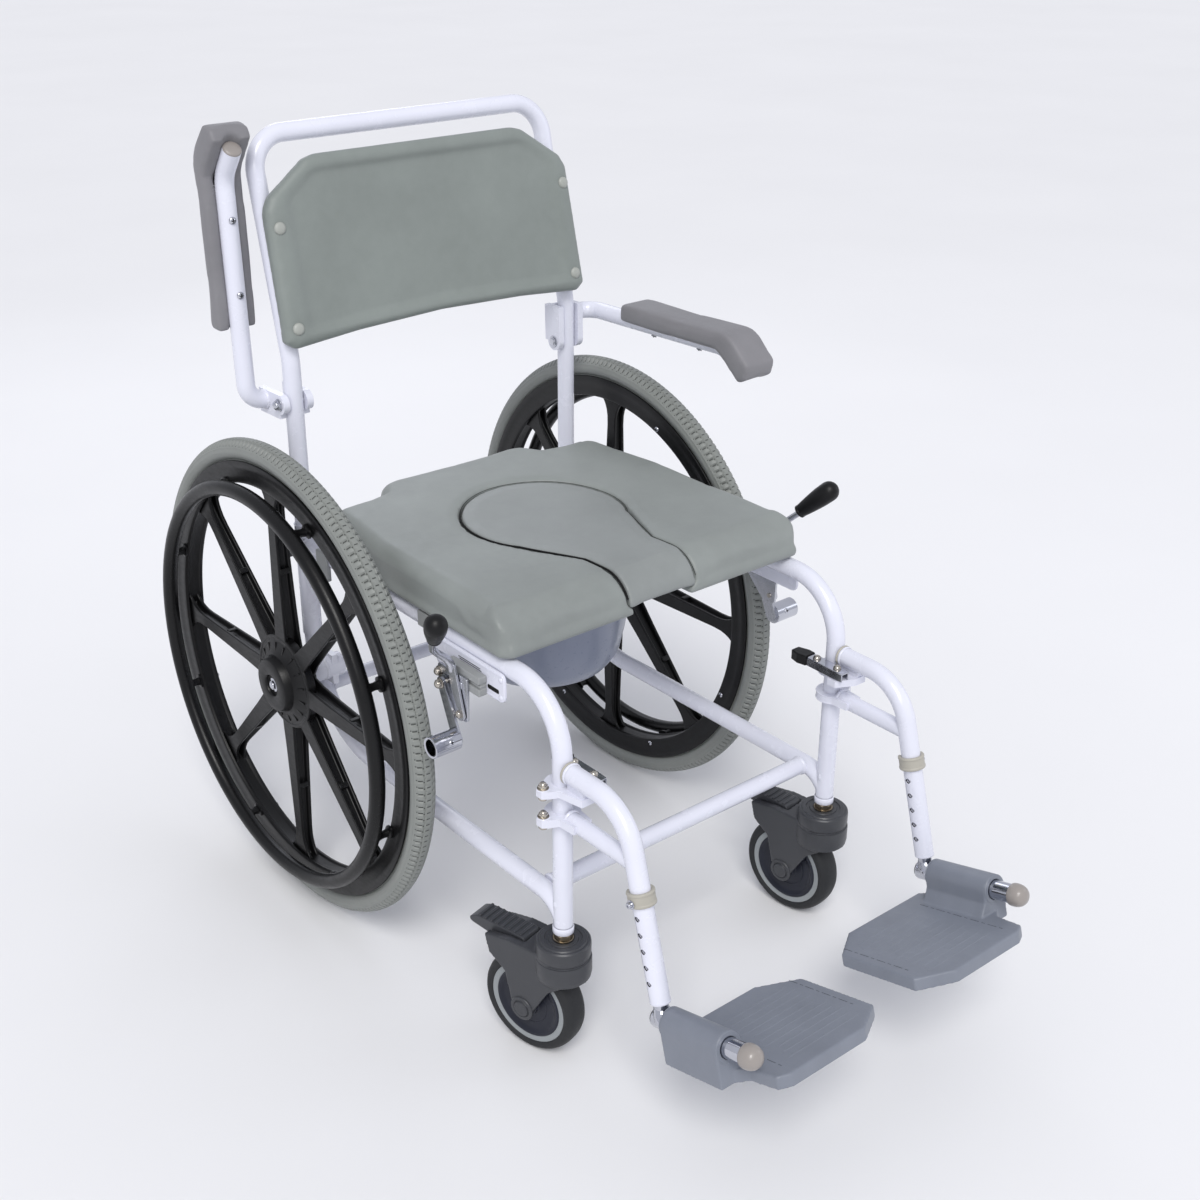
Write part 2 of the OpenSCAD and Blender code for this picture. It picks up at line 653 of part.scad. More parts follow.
module lock_knob() translate([side_x, post_y, 470]) {
    difference() {
        along_x(pr + 8, pr + 20, 0, 0, 20);
        for (i = [0 : 4]) rotate([i * 72, 0, 0]) along_x(pr + 7, pr + 21, 0, 23, 7);
    }
    along_x(pr + 0.6, pr + 9, 0, 0, 8);
}

module side_frame_right() color("#eeedf4") place() right() side_frame();
module side_frame_left() color("#eeedf4") place() side_frame();
module cross_tubes() color("#eeedf4") place() cross_tubes_shape();
module axles() color("#b9bcc2") place() {
    axle();
    right() axle();
}
module back_bow() color("#eeedf4") place() back_bow_shape();
module backrest_panel() color("#8a918d") place() backrest_panel_shape();
module panel_caps() color("#b9b6ac") place() panel_caps_shape();
module seat_pad() color("#8a918d") place() seat_pad_shape();
module seat_clips() color("#8d8f94") place() seat_clips_shape();
module pan_runners() color("#b9b6ac") place() pan_runners_shape();
module brake_rails() color("#eeedf4") place() {
    brake_rail();
    right() brake_rail();
}
module brake_clamps() color("#8d8f94") place() {
    brake_clamp();
    right() brake_clamp();
}
module brake_plates() color("#b9bcc2") place() {
    brake_plate();
    right() brake_plate();
}
module caster_stems() color("#b9bcc2") place() {
    caster_stem();
    right() caster_stem();
}
module arm_pivots() color("#b9bcc2") place() {
    arm_pivot();
    right() arm_pivot();
}
module lock_knob_right() color("#3b3e45") place() right() lock_knob();
module lock_knob_left() color("#3b3e45") place() lock_knob();
module seat_insert() color("#8a918d") place() seat_insert_shape();
module commode_pan() color("#6f7896") place() commode_pan_shape();
module wheel_right() color("#1b1c1f") place() right() wheel();
module wheel_left() color("#1b1c1f") place() wheel();
module tyre_right() color("#80857f") place() right() tyre();
module tyre_left() color("#80857f") place() tyre();
module handrim_right() color("#1b1c1f") place() right() handrim();
module handrim_left() color("#1b1c1f") place() handrim();
module caster_fork_right() color("#3b3e45") place() right() set_caster(-swivel_right) caster_fork();
module caster_fork_left() color("#3b3e45") place() set_caster(swivel_left) caster_fork();
module caster_pedal_right() color("#3b3e45") place() right() set_caster(-swivel_right) caster_pedal();
module caster_pedal_left() color("#3b3e45") place() set_caster(swivel_left) caster_pedal();
module caster_wheel_right() color("#3b3e45") place() right() set_caster(-swivel_right) caster_wheel();
module caster_wheel_left() color("#3b3e45") place() set_caster(swivel_left) caster_wheel();
module caster_tread_right() color("#4b4d50") place() right() set_caster(-swivel_right) caster_tread();
module caster_tread_left() color("#4b4d50") place() set_caster(swivel_left) caster_tread();
module arm_tube_right() color("#eeedf4") place() right() set_arm(arm_set_right) arm_tube();
module arm_tube_left() color("#eeedf4") place() set_arm(arm_rise) arm_tube();
module arm_pad_right() color("#7b7a7c") place() right() set_arm(arm_set_right) arm_pad();
module arm_pad_left() color("#7b7a7c") place() set_arm(arm_rise) arm_pad();
module arm_fixings_right() color("#b9bcc2") place() right() set_arm(arm_set_right) arm_fixings();
module arm_fixings_left() color("#b9bcc2") place() set_arm(arm_rise) arm_fixings();
module brake_lever_right() color("#b9bcc2") place() right() brake_lever();
module brake_lever_left() color("#b9bcc2") place() brake_lever();
module brake_knob_right() color("#1b1c1f") place() right() brake_knob();
module brake_knob_left() color("#1b1c1f") place() brake_knob();
module brake_roller_right() color("#b9bcc2") place() right() brake_roller();
module brake_roller_left() color("#b9bcc2") place() brake_roller();
module hanger_right() color("#eeedf4") place() right() hanger();
module hanger_left() color("#eeedf4") place() hanger();
module hanger_bolts_right() color("#b9bcc2") place() right() hanger_bolts();
module hanger_bolts_left() color("#b9bcc2") place() hanger_bolts();
module leg_clip_right() color("#b9b6ac") place() right() leg_clip();
module leg_clip_left() color("#b9b6ac") place() leg_clip();
module latch_right() color("#b9bcc2") place() right() latch();
module latch_left() color("#b9bcc2") place() latch();
module latch_grip_right() color("#1b1c1f") place() right() latch_grip();
module latch_grip_left() color("#1b1c1f") place() latch_grip();
module foot_stem_right() color("#b9bcc2") place() right() foot_stem();
module foot_stem_left() color("#b9bcc2") place() foot_stem();
module footplate_right() color("#7f8790") place() right() footplate();
module footplate_left() color("#7f8790") place() footplate();

side_frame_right();
side_frame_left();
cross_tubes();
axles();
back_bow();
backrest_panel();
panel_caps();
seat_pad();
seat_clips();
pan_runners();
brake_rails();
brake_clamps();
brake_plates();
caster_stems();
arm_pivots();
lock_knob_right();
lock_knob_left();
seat_insert();
commode_pan();
wheel_right();
wheel_left();
tyre_right();
tyre_left();
handrim_right();
handrim_left();
caster_fork_right();
caster_fork_left();
caster_pedal_right();
caster_pedal_left();
caster_wheel_right();
caster_wheel_left();
caster_tread_right();
caster_tread_left();
arm_tube_right();
arm_tube_left();
arm_pad_right();
arm_pad_left();
arm_fixings_right();
arm_fixings_left();
brake_lever_right();
brake_lever_left();
brake_knob_right();
brake_knob_left();
brake_roller_right();
brake_roller_left();
hanger_right();
hanger_left();
hanger_bolts_right();
hanger_bolts_left();
leg_clip_right();
leg_clip_left();
latch_right();
latch_left();
latch_grip_right();
latch_grip_left();
foot_stem_right();
foot_stem_left();
footplate_right();
footplate_left();
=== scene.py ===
import bpy, bmesh, json, math
from mathutils import Vector, Matrix, noise

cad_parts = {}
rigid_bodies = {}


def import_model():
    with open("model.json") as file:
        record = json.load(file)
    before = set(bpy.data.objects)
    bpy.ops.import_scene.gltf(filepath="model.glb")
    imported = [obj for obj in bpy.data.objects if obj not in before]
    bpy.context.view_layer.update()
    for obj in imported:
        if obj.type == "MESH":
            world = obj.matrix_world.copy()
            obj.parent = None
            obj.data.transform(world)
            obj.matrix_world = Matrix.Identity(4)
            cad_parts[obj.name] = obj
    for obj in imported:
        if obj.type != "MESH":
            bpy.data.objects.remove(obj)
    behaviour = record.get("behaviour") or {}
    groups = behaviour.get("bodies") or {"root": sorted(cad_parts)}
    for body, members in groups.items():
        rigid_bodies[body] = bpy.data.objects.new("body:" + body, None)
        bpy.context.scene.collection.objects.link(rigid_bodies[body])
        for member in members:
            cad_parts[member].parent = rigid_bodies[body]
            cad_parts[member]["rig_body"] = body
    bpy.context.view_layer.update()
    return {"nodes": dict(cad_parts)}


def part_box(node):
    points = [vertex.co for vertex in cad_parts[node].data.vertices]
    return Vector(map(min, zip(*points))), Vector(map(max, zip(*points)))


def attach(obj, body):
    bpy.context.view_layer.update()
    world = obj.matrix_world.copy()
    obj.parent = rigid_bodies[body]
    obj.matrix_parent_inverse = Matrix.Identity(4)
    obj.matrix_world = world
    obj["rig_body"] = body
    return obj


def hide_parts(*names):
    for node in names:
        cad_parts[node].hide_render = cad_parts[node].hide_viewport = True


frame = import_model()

NODES = frame["nodes"]
scene = bpy.context.scene

# The rear axle is the reference: sizes below are in mm from it, as in the CAD source.
AY = sum(v.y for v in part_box("axles")) / 2


def V(x, y, z):
    return Vector((x / 1000, AY + y / 1000, z / 1000))


SIDES = {"right": -1, "left": 1}
# Main places of the frame, in mm from the rear axle and the floor.
FRAME_X = 205.5
WHEEL_X = 262
HANDRIM_X = 297.0
AXLE_Z = 305
POST_Y = 37.5
STEM_Y = -470.6
TUBE_R = 11
LEAN_DEG = 12.6

# ---------------------------------------------------------------- materials


class Nodes:
    """A small helper to build a material's node tree."""

    def __init__(self, name):
        self.m = bpy.data.materials.new(name)
        self.m.use_nodes = True
        self.t = self.m.node_tree
        self.b = self.t.nodes["Principled BSDF"]
        self.co = self.t.nodes.new("ShaderNodeTexCoord").outputs["Object"]

    def new(self, kind, **inputs):
        n = self.t.nodes.new("ShaderNode" + kind)
        for k, v in inputs.items():
            key = k.replace("_", " ")
            if key in n.inputs:
                n.inputs[key].default_value = v
            else:
                setattr(n, k, v)
        return n

    def link(self, a, b):
        self.t.links.new(a, b)

    def noise(self, scale, detail=4.0, rough=0.55, stretch=None):
        n = self.new("TexNoise", Scale=scale, Detail=detail, Roughness=rough)
        if stretch:
            mp = self.new("Mapping")
            mp.inputs["Scale"].default_value = stretch
            self.link(self.co, mp.inputs["Vector"])
            self.link(mp.outputs["Vector"], n.inputs["Vector"])
        else:
            self.link(self.co, n.inputs["Vector"])
        return n.outputs["Fac"]

    def ramp(self, fac, stops):
        r = self.new("ValToRGB")
        els = r.color_ramp.elements
        while len(els) < len(stops):
            els.new(0.5)
        for e, (p, c) in zip(els, stops):
            e.position = p
            e.color = (*c, 1) if len(c) == 3 else c
        self.link(fac, r.inputs["Fac"])
        return r.outputs["Color"]

    def remap(self, fac, lo, hi, a=0.3, b=0.7):
        r = self.new("MapRange")
        r.inputs["From Min"].default_value = a
        r.inputs["From Max"].default_value = b
        r.inputs["To Min"].default_value = lo
        r.inputs["To Max"].default_value = hi
        self.link(fac, r.inputs["Value"])
        return r.outputs["Result"]

    def mix(self, fac, a, b, how="MIX"):
        n = self.t.nodes.new("ShaderNodeMix")
        n.data_type = "RGBA"
        n.blend_type = how
        if isinstance(fac, float):
            n.inputs[0].default_value = fac
        else:
            self.link(fac, n.inputs[0])
        for sock, v in ((n.inputs[6], a), (n.inputs[7], b)):
            if isinstance(v, tuple):
                sock.default_value = (*v, 1)
            else:
                self.link(v, sock)
        return n.outputs[2]

    def bump(self, *layers):
        prev = None
        for height, strength, dist in layers:
            n = self.new("Bump", Strength=strength, Distance=dist)
            self.link(height, n.inputs["Height"])
            if prev:
                self.link(prev, n.inputs["Normal"])
            prev = n.outputs["Normal"]
        self.link(prev, self.b.inputs["Normal"])

    def set(self, **kw):
        for k, v in kw.items():
            s = self.b.inputs[k.replace("_", " ")]
            if hasattr(v, "is_linked"):
                self.link(v, s)
            elif isinstance(v, tuple):
                s.default_value = (*v, 1)
            else:
                s.default_value = v
        return self.m


def tone(c, k):
    return tuple(min(1.0, v * k) for v in c)


def enamel():
    n = Nodes("enamel_white")
    base = (0.735, 0.745, 0.835)
    cloud = n.noise(14, 3)
    dust = n.noise(180, 5, 0.7)
    col = n.ramp(cloud, [(0.3, tone(base, 0.98)), (0.7, tone(base, 1.015))])
    specks = n.ramp(dust, [(0.70, (1, 1, 1)), (0.80, (0.93, 0.92, 0.90))])
    col = n.mix(0.35, col, specks, "MULTIPLY")
    n.bump((n.noise(420, 2), 0.05, 0.0004), (n.noise(30, 2), 0.03, 0.001))
    return n.set(Base_Color=col, Roughness=n.remap(n.noise(60, 4), 0.20, 0.30),
                 Coat_Weight=0.35, Coat_Roughness=0.08, IOR=1.5)


def chrome(name="plated_steel", base=(0.56, 0.57, 0.62), lo=0.09, hi=0.15):
    n = Nodes(name)
    col = n.ramp(n.noise(40, 3), [(0.35, tone(base, 0.96)), (0.68, tone(base, 1.03))])
    n.bump((n.noise(700, 2, stretch=(1, 1, 5)), 0.015, 0.0001))
    return n.set(Base_Color=col, Metallic=1.0, Roughness=n.remap(n.noise(60, 3, 0.6), lo, hi))


def foam(name, base, scale=1.0, rough=0.46, grain=0.22):
    """Self-skinned foam: a fine pebble grain, faint clouds of tone and a soft sheen."""
    n = Nodes(name)
    clouds = n.noise(9 * scale, 4, 0.6)
    mottle = n.noise(75 * scale, 5, 0.6)
    col = n.ramp(clouds, [(0.28, tone(base, 0.90)), (0.55, base), (0.78, tone(base, 1.07))])
    pale = n.ramp(mottle, [(0.3, (0.90, 0.91, 0.90)), (0.7, (1.0, 1.0, 1.0))])
    col = n.mix(0.45, col, pale, "MULTIPLY")
    vor = n.new("TexVoronoi", Scale=760.0 * scale, feature="SMOOTH_F1")
    n.link(n.co, vor.inputs["Vector"])
    n.bump((vor.outputs["Distance"], grain, 0.0004), (n.noise(1500 * scale, 3), 0.10, 0.0002),
           (n.noise(26 * scale, 3), 0.12, 0.0016))
    return n.set(Base_Color=col, Roughness=n.remap(mottle, rough - 0.05, rough + 0.08),
                 Sheen_Weight=0.10, Sheen_Roughness=0.4)


def moulded_plastic(name, base, rough=0.42, grain=0.15, spread=0.06, fine=900.0, coat=0.0):
    n = Nodes(name)
    flow = n.noise(22, 4, 0.6, stretch=(1, 1, 0.4))
    col = n.ramp(flow, [(0.3, tone(base, 1 - spread)), (0.7, tone(base, 1 + spread))])
    scuff = n.noise(240, 6, 0.75, stretch=(1, 0.25, 1))
    col = n.mix(0.5, col, n.ramp(scuff, [(0.55, (1, 1, 1)), (0.80, (1.12, 1.12, 1.12))]), "MULTIPLY")
    n.bump((n.noise(fine, 3), grain, 0.0003), (n.noise(45, 3), 0.06, 0.0012))
    return n.set(Base_Color=col, Roughness=n.remap(scuff, rough - 0.06, rough + 0.10),
                 Coat_Weight=coat)


M = {
    "enamel": enamel(),
    "chrome": chrome(),
    "nickel": chrome("brassy_nuts", (0.50, 0.465, 0.41), 0.15, 0.28),
    "bronze": chrome("stem_nut", (0.36, 0.30, 0.22), 0.26, 0.40),
    "strip": chrome("brushed_strip", (0.54, 0.55, 0.59), 0.20, 0.27),
    "cushion": foam("seat_foam", (0.250, 0.270, 0.260)),
    "back": foam("back_foam", (0.226, 0.252, 0.237)),
    "insert": foam("insert_foam", (0.252, 0.269, 0.264)),
    "arm": foam("arm_foam", (0.215, 0.211, 0.224), 1.2, 0.55, 0.3),
    "plate": moulded_plastic("footplate_grey", (0.196, 0.214, 0.255), 0.40, 0.22),
    "wheel": moulded_plastic("wheel_black", (0.0032, 0.0032, 0.0036), 0.36, 0.30, 0.15, 700.0),
    "rim": moulded_plastic("handrim_black", (0.0036, 0.0036, 0.0040), 0.30, 0.12, 0.15, 1200.0),
    "tyre": moulded_plastic("tyre_grey", (0.228, 0.240, 0.226), 0.50, 0.22, 0.045, 800.0),
    # Painted shade: a dark grey for the footplates' dashed lines, standing in for the shade along them.
    "rib_line": moulded_plastic("rib_shadow", (0.055, 0.060, 0.075), 0.6, 0.2, 0.10),
    # Painted shade: a darker grey for the faces down in the tyre's tread cuts.
    "groove": moulded_plastic("tyre_groove", (0.060, 0.064, 0.060), 0.70, 0.2, 0.10),
    "caster": moulded_plastic("caster_charcoal", (0.040, 0.042, 0.048), 0.36, 0.25),
    "caster_hub": moulded_plastic("caster_hub_dark", (0.014, 0.016, 0.026), 0.34, 0.2),
    "ring": moulded_plastic("caster_ring_grey", (0.27, 0.29, 0.30), 0.45, 0.1),
    "tread": moulded_plastic("caster_tread_dark", (0.022, 0.023, 0.025), 0.55, 0.35, 0.1, 1400.0),
    "grip": moulded_plastic("grip_black", (0.004, 0.004, 0.0045), 0.38, 0.25, 0.1, 1200.0),
    "clamp": moulded_plastic("clamp_grey", (0.30, 0.31, 0.31), 0.42, 0.15),
    "clip": moulded_plastic("clip_beige", (0.43, 0.41, 0.355), 0.45, 0.15),
    "cap": moulded_plastic("cap_grey", (0.30, 0.272, 0.252), 0.33, 0.06, 0.04, 900.0, 0.25),
    "button": moulded_plastic("button_pale", (0.36, 0.375, 0.345), 0.4, 0.08),
    "pan": moulded_plastic("pan_lilac", (0.232, 0.258, 0.335), 0.30, 0.06, 0.03, 900.0, 0.2),
    "runner": moulded_plastic("runner_white", (0.62, 0.62, 0.64), 0.42, 0.12),
    "dark": moulded_plastic("shadow_black", (0.004, 0.004, 0.004), 0.7, 0.1),
}

for k in ("wheel", "rim", "grip", "dark", "tread", "caster_hub"):
    M[k].node_tree.nodes["Principled BSDF"].inputs["Specular IOR Level"].default_value = 0.28

# ---------------------------------------------------------------- mesh tools

MM = 1000.0
UP = (0, 0, 1)
DOWN = (0, 0, -1)
OUT = (1, 0, 0)
FORWARD = (0, -1, 0)


class At:
    """A sub-assembly's own frame, in mm, with x to the outside. The left side is +x in the world."""

    def __init__(self, side="left", origin=(0, 0, 0), axis="X", angle=0.0):
        self.side, self.s = side, SIDES[side]
        self.o = Vector(origin)
        self.r = Matrix.Rotation(math.radians(angle), 3, axis)

    def p(self, x, y, z):
        """A point of this frame in the world, in metres."""
        q = self.r @ Vector((x, y, z)) + self.o
        return V(q.x * self.s, q.y, q.z)

    def d(self, x, y, z):
        """A direction of this frame in the world."""
        q = self.r @ Vector((x, y, z))
        return Vector((q.x * self.s, q.y, q.z))

    def side_view(self, u, v, w):
        return self.p(w, u, v)

    def front_view(self, u, v, w):
        return self.p(u, w, v)


def frame_from(axis):
    """A rotation whose Z is axis."""
    z = Vector(axis).normalized()
    x = Vector((0, 0, 1)) if abs(z.z) < 0.9 else Vector((0, 1, 0))
    x = (x - z * x.dot(z)).normalized()
    return Matrix((x, z.cross(x), z)).transposed()


def mirrored(half):
    """A profile of (radius, height) followed by its mirror image in height."""
    return half + [(r, -h) for r, h in reversed(half)]


def rect(u0, u1, v0, v1):
    return [(u0, v0), (u1, v0), (u1, v1), (u0, v1)]


def arc(u, v, r, angles):
    return [(u + r * math.cos(t), v + r * math.sin(t)) for t in angles]


def rounded(pts, r, n=5):
    """The outline with each corner rounded off by about r."""
    out = []
    m = len(pts)
    for i in range(m):
        p, a, b = Vector(pts[i]), Vector(pts[i - 1]), Vector(pts[(i + 1) % m])
        k = min(r, (a - p).length * 0.45, (b - p).length * 0.45)
        u, w = (a - p).normalized() * k, (b - p).normalized() * k
        for j in range(n + 1):
            t = j / n
            out.append(tuple(p + u * (1 - t) ** 2 + w * t ** 2))
    return out


class Piece:
    """A mesh under construction in the frame of an At. Sizes are in mm."""

    def __init__(self, at=At()):
        self.bm, self.at = bmesh.new(), at

    def ring_of(self, points):
        return [self.bm.verts.new(p) for p in points]

    def skin(self, rings, mi=0, caps=True, loop=False):
        """Joins a row of equal rings: caps close the two ends, loop joins the last to the first."""
        n = len(rings[0])
        faces = [self.bm.faces.new((a[k], a[(k + 1) % n], b[(k + 1) % n], b[k]))
                 for a, b in zip(rings, rings[1:] + rings[:loop]) for k in range(n)]
        if caps and not loop:
            faces += [self.bm.faces.new(rings[0]), self.bm.faces.new(rings[-1])]
        for f in faces:
            f.material_index = mi

    def turned(self, o, axis, profile, seg, wave=None):
        """A ring of vertices for each (radius, height) of a profile about the axis through o."""
        at, R = self.at.p(*o), frame_from(self.at.d(*axis))
        rings = []
        for r, h in profile:
            pts = []
            for i in range(seg if r > 1e-6 else 1):
                a = 2 * math.pi * i / seg
                rr = r + (wave(a, r) if wave else 0)
                pts.append(at + R @ (Vector((rr * math.cos(a), rr * math.sin(a), h)) / MM))
            rings.append(self.ring_of(pts))
        return rings

    def lathe(self, o, axis, profile, seg=48, mi=0, wave=None):
        """An open profile turned round the axis. A radius of 0 closes it."""
        rings = self.turned(o, axis, profile, seg, wave)
        for a, b in zip(rings, rings[1:]):
            n = max(len(a), len(b))
            for i in range(n):
                j = (i + 1) % n
                vs = list(dict.fromkeys((a[i % len(a)], b[i % len(b)], b[j % len(b)], a[j % len(a)])))
                if len(vs) > 2:
                    self.bm.faces.new(vs).material_index = mi

    def ring(self, o, axis, profile, seg=96):
        """A closed profile turned round the axis, such as a tyre."""
        self.skin(self.turned(o, axis, profile, seg), loop=True)

    def prism(self, pts, lo, hi, place=None, mi=0):
        """An outline of (u, v) from w=lo to w=hi, by default seen from the side: (y, z) along x."""
        place = place or self.at.side_view
        self.skin([self.ring_of(place(u, v, w) for u, v in pts) for w in (lo, hi)], mi)

    def tube(self, pts, r, seg=20):
        """A closed pipe through points. r is its radius, or a list with one for each point."""
        pts = [self.at.p(*p) for p in pts]
        rings, up = [], None
        for i, p in enumerate(pts):
            t = (pts[min(i + 1, len(pts) - 1)] - pts[max(i - 1, 0)]).normalized()
            up = up or t.orthogonal().normalized()
            up = (up - t * up.dot(t)).normalized()
            side = t.cross(up)
            rr = (r[i] if isinstance(r, list) else r) / MM
            angles = [2 * math.pi * k / seg for k in range(seg)]
            rings.append(self.ring_of(p + (up * math.cos(a) + side * math.sin(a)) * rr for a in angles))
        self.skin(rings)

    def hex_nut(self, o, axis, af, h):
        """A hexagon nut across flats af, with its corners turned down, standing on o."""
        at, R = self.at.p(*o), frame_from(self.at.d(*axis))
        c = af / 2 / math.cos(math.pi / 6)
        rings = []
        for z, limit in ((0.0, c * 0.93), (0.10 * h, c), (0.86 * h, c), (h, c * 0.90)):
            pts = []
            for i in range(36):
                a = 2 * math.pi * i / 36
                q = min(af / 2 / math.cos(a % (math.pi / 3) - math.pi / 6), limit)
                pts.append(at + R @ (Vector((q * math.cos(a), q * math.sin(a), z)) / MM))
            rings.append(self.ring_of(pts))
        self.skin(rings)

    def dome_nut(self, o, axis, af, h):
        """A cap nut: hexagon base and a round dome."""
        self.hex_nut(o, axis, af, h * 0.5)
        r = af / 2 * 0.92
        dome = [(r * math.cos(t), 0.5 * h * (1 + math.sin(t))) for t in (0.15, 0.4, 0.7, 1.0, 1.25, 1.45)]
        self.lathe(o, axis, [(r, 0.48 * h)] + dome + [(0, h)], 28)

    def washer(self, o, axis, r, h):
        edge = [(r * 0.96, 0), (r, h * 0.25), (r, h * 0.75), (r * 0.96, h)]
        self.lathe(o, axis, [(0, 0)] + edge + [(0, h)], 32)

    def screw(self, o, axis, r, h, recess=True):
        """A round-headed screw, with a cross recess drawn as a cross in the second material; near black where
        used, it is painted shade in the recess.
        """
        head = [(r * math.cos(t), h * math.sin(t)) for t in (0.2, 0.5, 0.8, 1.1, 1.35)]
        self.lathe(o, axis, [(r, 0)] + head + [(0, h)], 28)
        if recess:
            at, R = self.at.p(*o), frame_from(self.at.d(*axis))
            e, w = 0.55 * r, 0.13 * r
            for pts in (rect(-e, e, -w, w), rect(-w, w, -e, e)):
                self.prism(pts, h * 0.72, h * 1.04, lambda u, v, z: at + R @ (Vector((u, v, z)) / MM), 1)

    def weld(self, o, axis, r, w, seg, seed):
        """A bead of weld round a tube of radius r, with small ripples under the paint."""
        at, R = self.at.p(*o), frame_from(self.at.d(*axis))
        rings = []
        for u, k in ((-1.0, 0.0), (-0.75, 0.42), (-0.25, 0.72), (0.3, 0.72), (0.8, 0.4), (1.0, 0.0)):
            pts = []
            for i in range(seg):
                a = 2 * math.pi * i / seg
                lumps = noise.noise(Vector((math.cos(a) * 2, math.sin(a) * 2, seed)))
                rip = 0.14 * math.sin(a * 22 + seed) + 0.2 * lumps
                q = r - 0.4 + w * k * (0.8 + rip)
                pts.append(at + R @ (Vector((q * math.cos(a), q * math.sin(a), u * w * (1 + rip * 0.5))) / MM))
            rings.append(self.ring_of(pts))
        self.skin(rings, caps=False)

    def done(self, name, mats, body, smooth=35, bevel=None, seg=2, node=None):
        """Turns the mesh into an object on its body, and hides the CAD node that it stands for.
        A name that ends in _ is completed with the side."""
        bm = self.bm
        if name[-1] == "_":
            name += self.at.side
        bmesh.ops.remove_doubles(bm, verts=bm.verts, dist=1e-6)
        bmesh.ops.recalc_face_normals(bm, faces=bm.faces)
        me = bpy.data.meshes.new(name)
        bm.to_mesh(me)
        bm.free()
        o = new_object(name, me)
        for m in mats.split():
            me.materials.append(M[m])
        for p in me.polygons:
            p.use_smooth = True
        me.set_sharp_from_angle(angle=math.radians(smooth))
        if bevel:
            add_bevel(o, bevel, seg, 32).harden_normals = False
        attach(o, body)
        if node:
            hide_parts(node)
        return o


def new_object(name, data):
    o = bpy.data.objects.new(name, data)
    scene.collection.objects.link(o)
    return o


def add_bevel(o, width, seg, angle):
    b = o.modifiers.new("bevel", "BEVEL")
    b.width, b.segments, b.limit_method = width / MM, seg, "ANGLE"
    b.angle_limit = math.radians(angle)
    return b


def apply_mods(o):
    bpy.context.view_layer.update()
    dg = bpy.context.evaluated_depsgraph_get()
    me = bpy.data.meshes.new_from_object(o.evaluated_get(dg))
    o.modifiers.clear()
    old = o.data
    o.data = me
    bpy.data.meshes.remove(old)


def smooth(o, factor, rounds):
    s = o.modifiers.new("s", "SMOOTH")
    s.factor, s.iterations = factor, rounds
    apply_mods(o)


def remeshed(name, node, voxel, rounds):
    """A copy of a CAD solid in small even faces, with its edges rounded off by smoothing."""
    me = NODES[node].data.copy()
    me.materials.clear()
    o = new_object(name, me)
    r = o.modifiers.new("r", "REMESH")
    r.mode, r.voxel_size = "VOXEL", voxel / MM
    smooth(o, 0.5, rounds)
    return o


def dress(o, mat, node):
    """Gives the copy of a CAD solid its material and its body, and hides the solid."""
    o.data.materials.clear()
    o.data.materials.append(M[mat])
    for p in o.data.polygons:
        p.use_smooth = True
    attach(o, NODES[node]["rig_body"])
    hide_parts(node)
    return o


def moulded(name, node, voxel, rounds, mat):
    """A copy of a CAD solid with its edges rounded off as a moulding's are."""
    return dress(remeshed(name, node, voxel, rounds), mat, node)


def paint(node, mat, bevel):
    """A CAD solid that is shown as it is, with a material and a small bevel."""
    o = NODES[node]
    o.data.materials.clear()
    o.data.materials.append(M[mat])
    add_bevel(o, bevel, 2, 40)


def smoothstep(a, b, x):
    t = max(0.0, min(1.0, (x - a) / (b - a)))
    return t * t * (3 - 2 * t)


def lerp_table(table, x):
    """Reads a table of (x, value) with straight lines between its rows."""
    for (a, fa), (b, fb) in zip(table, table[1:]):
        if x <= b:
            return fa + (fb - fa) * (x - a) / (b - a)
    return table[-1][1]


# ---------------------------------------------------------------- soft goods


def mm(co):
    """A world point in mm from the rear axle, with z from the floor."""
    return co.x * MM, (co.y - AY) * MM, co.z * MM


def wobble(x, y, z):
    return noise.noise(Vector((x, y, z)))


def edge_drop(d, r):
    """How far a rounded edge of radius r lies below its face, at a distance d from the outline."""
    return r - math.sqrt(max(0.0, r * r - (r - d) ** 2)) if d < r else 0.0


def outline_dist(poly, x, y):
    """Distance in mm from a point to a closed outline."""
    best = 1e9
    for (ax, ay), (bx, by) in zip(poly, poly[1:] + poly[:1]):
        dx, dy = bx - ax, by - ay
        t = max(0.0, min(1.0, ((x - ax) * dx + (y - ay) * dy) / (dx * dx + dy * dy)))
        best = min(best, math.hypot(x - ax - t * dx, y - ay - t * dy))
    return best


def inflate(o, cap):
    """A short cloth simulation that fills the pad out. cap(co) is how far a point may move, in mm."""
    start = [v.co.copy() for v in o.data.vertices]
    m = o.modifiers.new("cloth", "CLOTH")
    s = m.settings
    s.quality, s.mass = 4, 0.3
    s.use_pressure, s.uniform_pressure_force = True, 4.0
    s.tension_stiffness = s.compression_stiffness = 15
    s.shear_stiffness, s.bending_stiffness = 5, 0.5
    s.effector_weights.gravity = 0
    m.collision_settings.use_collision = False
    m.point_cache.frame_start, m.point_cache.frame_end = 1, CLOTH_STEPS
    for f in range(1, CLOTH_STEPS + 1):
        scene.frame_set(f)
    ev = o.evaluated_get(bpy.context.evaluated_depsgraph_get())
    got = [v.co.copy() for v in ev.data.vertices]
    o.modifiers.remove(m)
    scene.frame_set(1)
    for v, a, b in zip(o.data.vertices, start, got):
        d = b - a
        lim = cap(a) / MM
        if d.length > lim:
            d *= lim / d.length
        v.co = a + d


def soft_from(name, node, voxel, rounds, mat, pre, cap, post):
    """A padded piece grown from its plain CAD solid: remeshed, shaped, filled out and smoothed."""
    o = remeshed(name, node, voxel, rounds)
    if pre:
        pre(o)
    inflate(o, cap)
    post(o)
    smooth(o, 0.5, 2)
    dress(o, mat, node)
    sub = o.modifiers.new("sub", "SUBSURF")
    sub.levels = sub.render_levels = 1


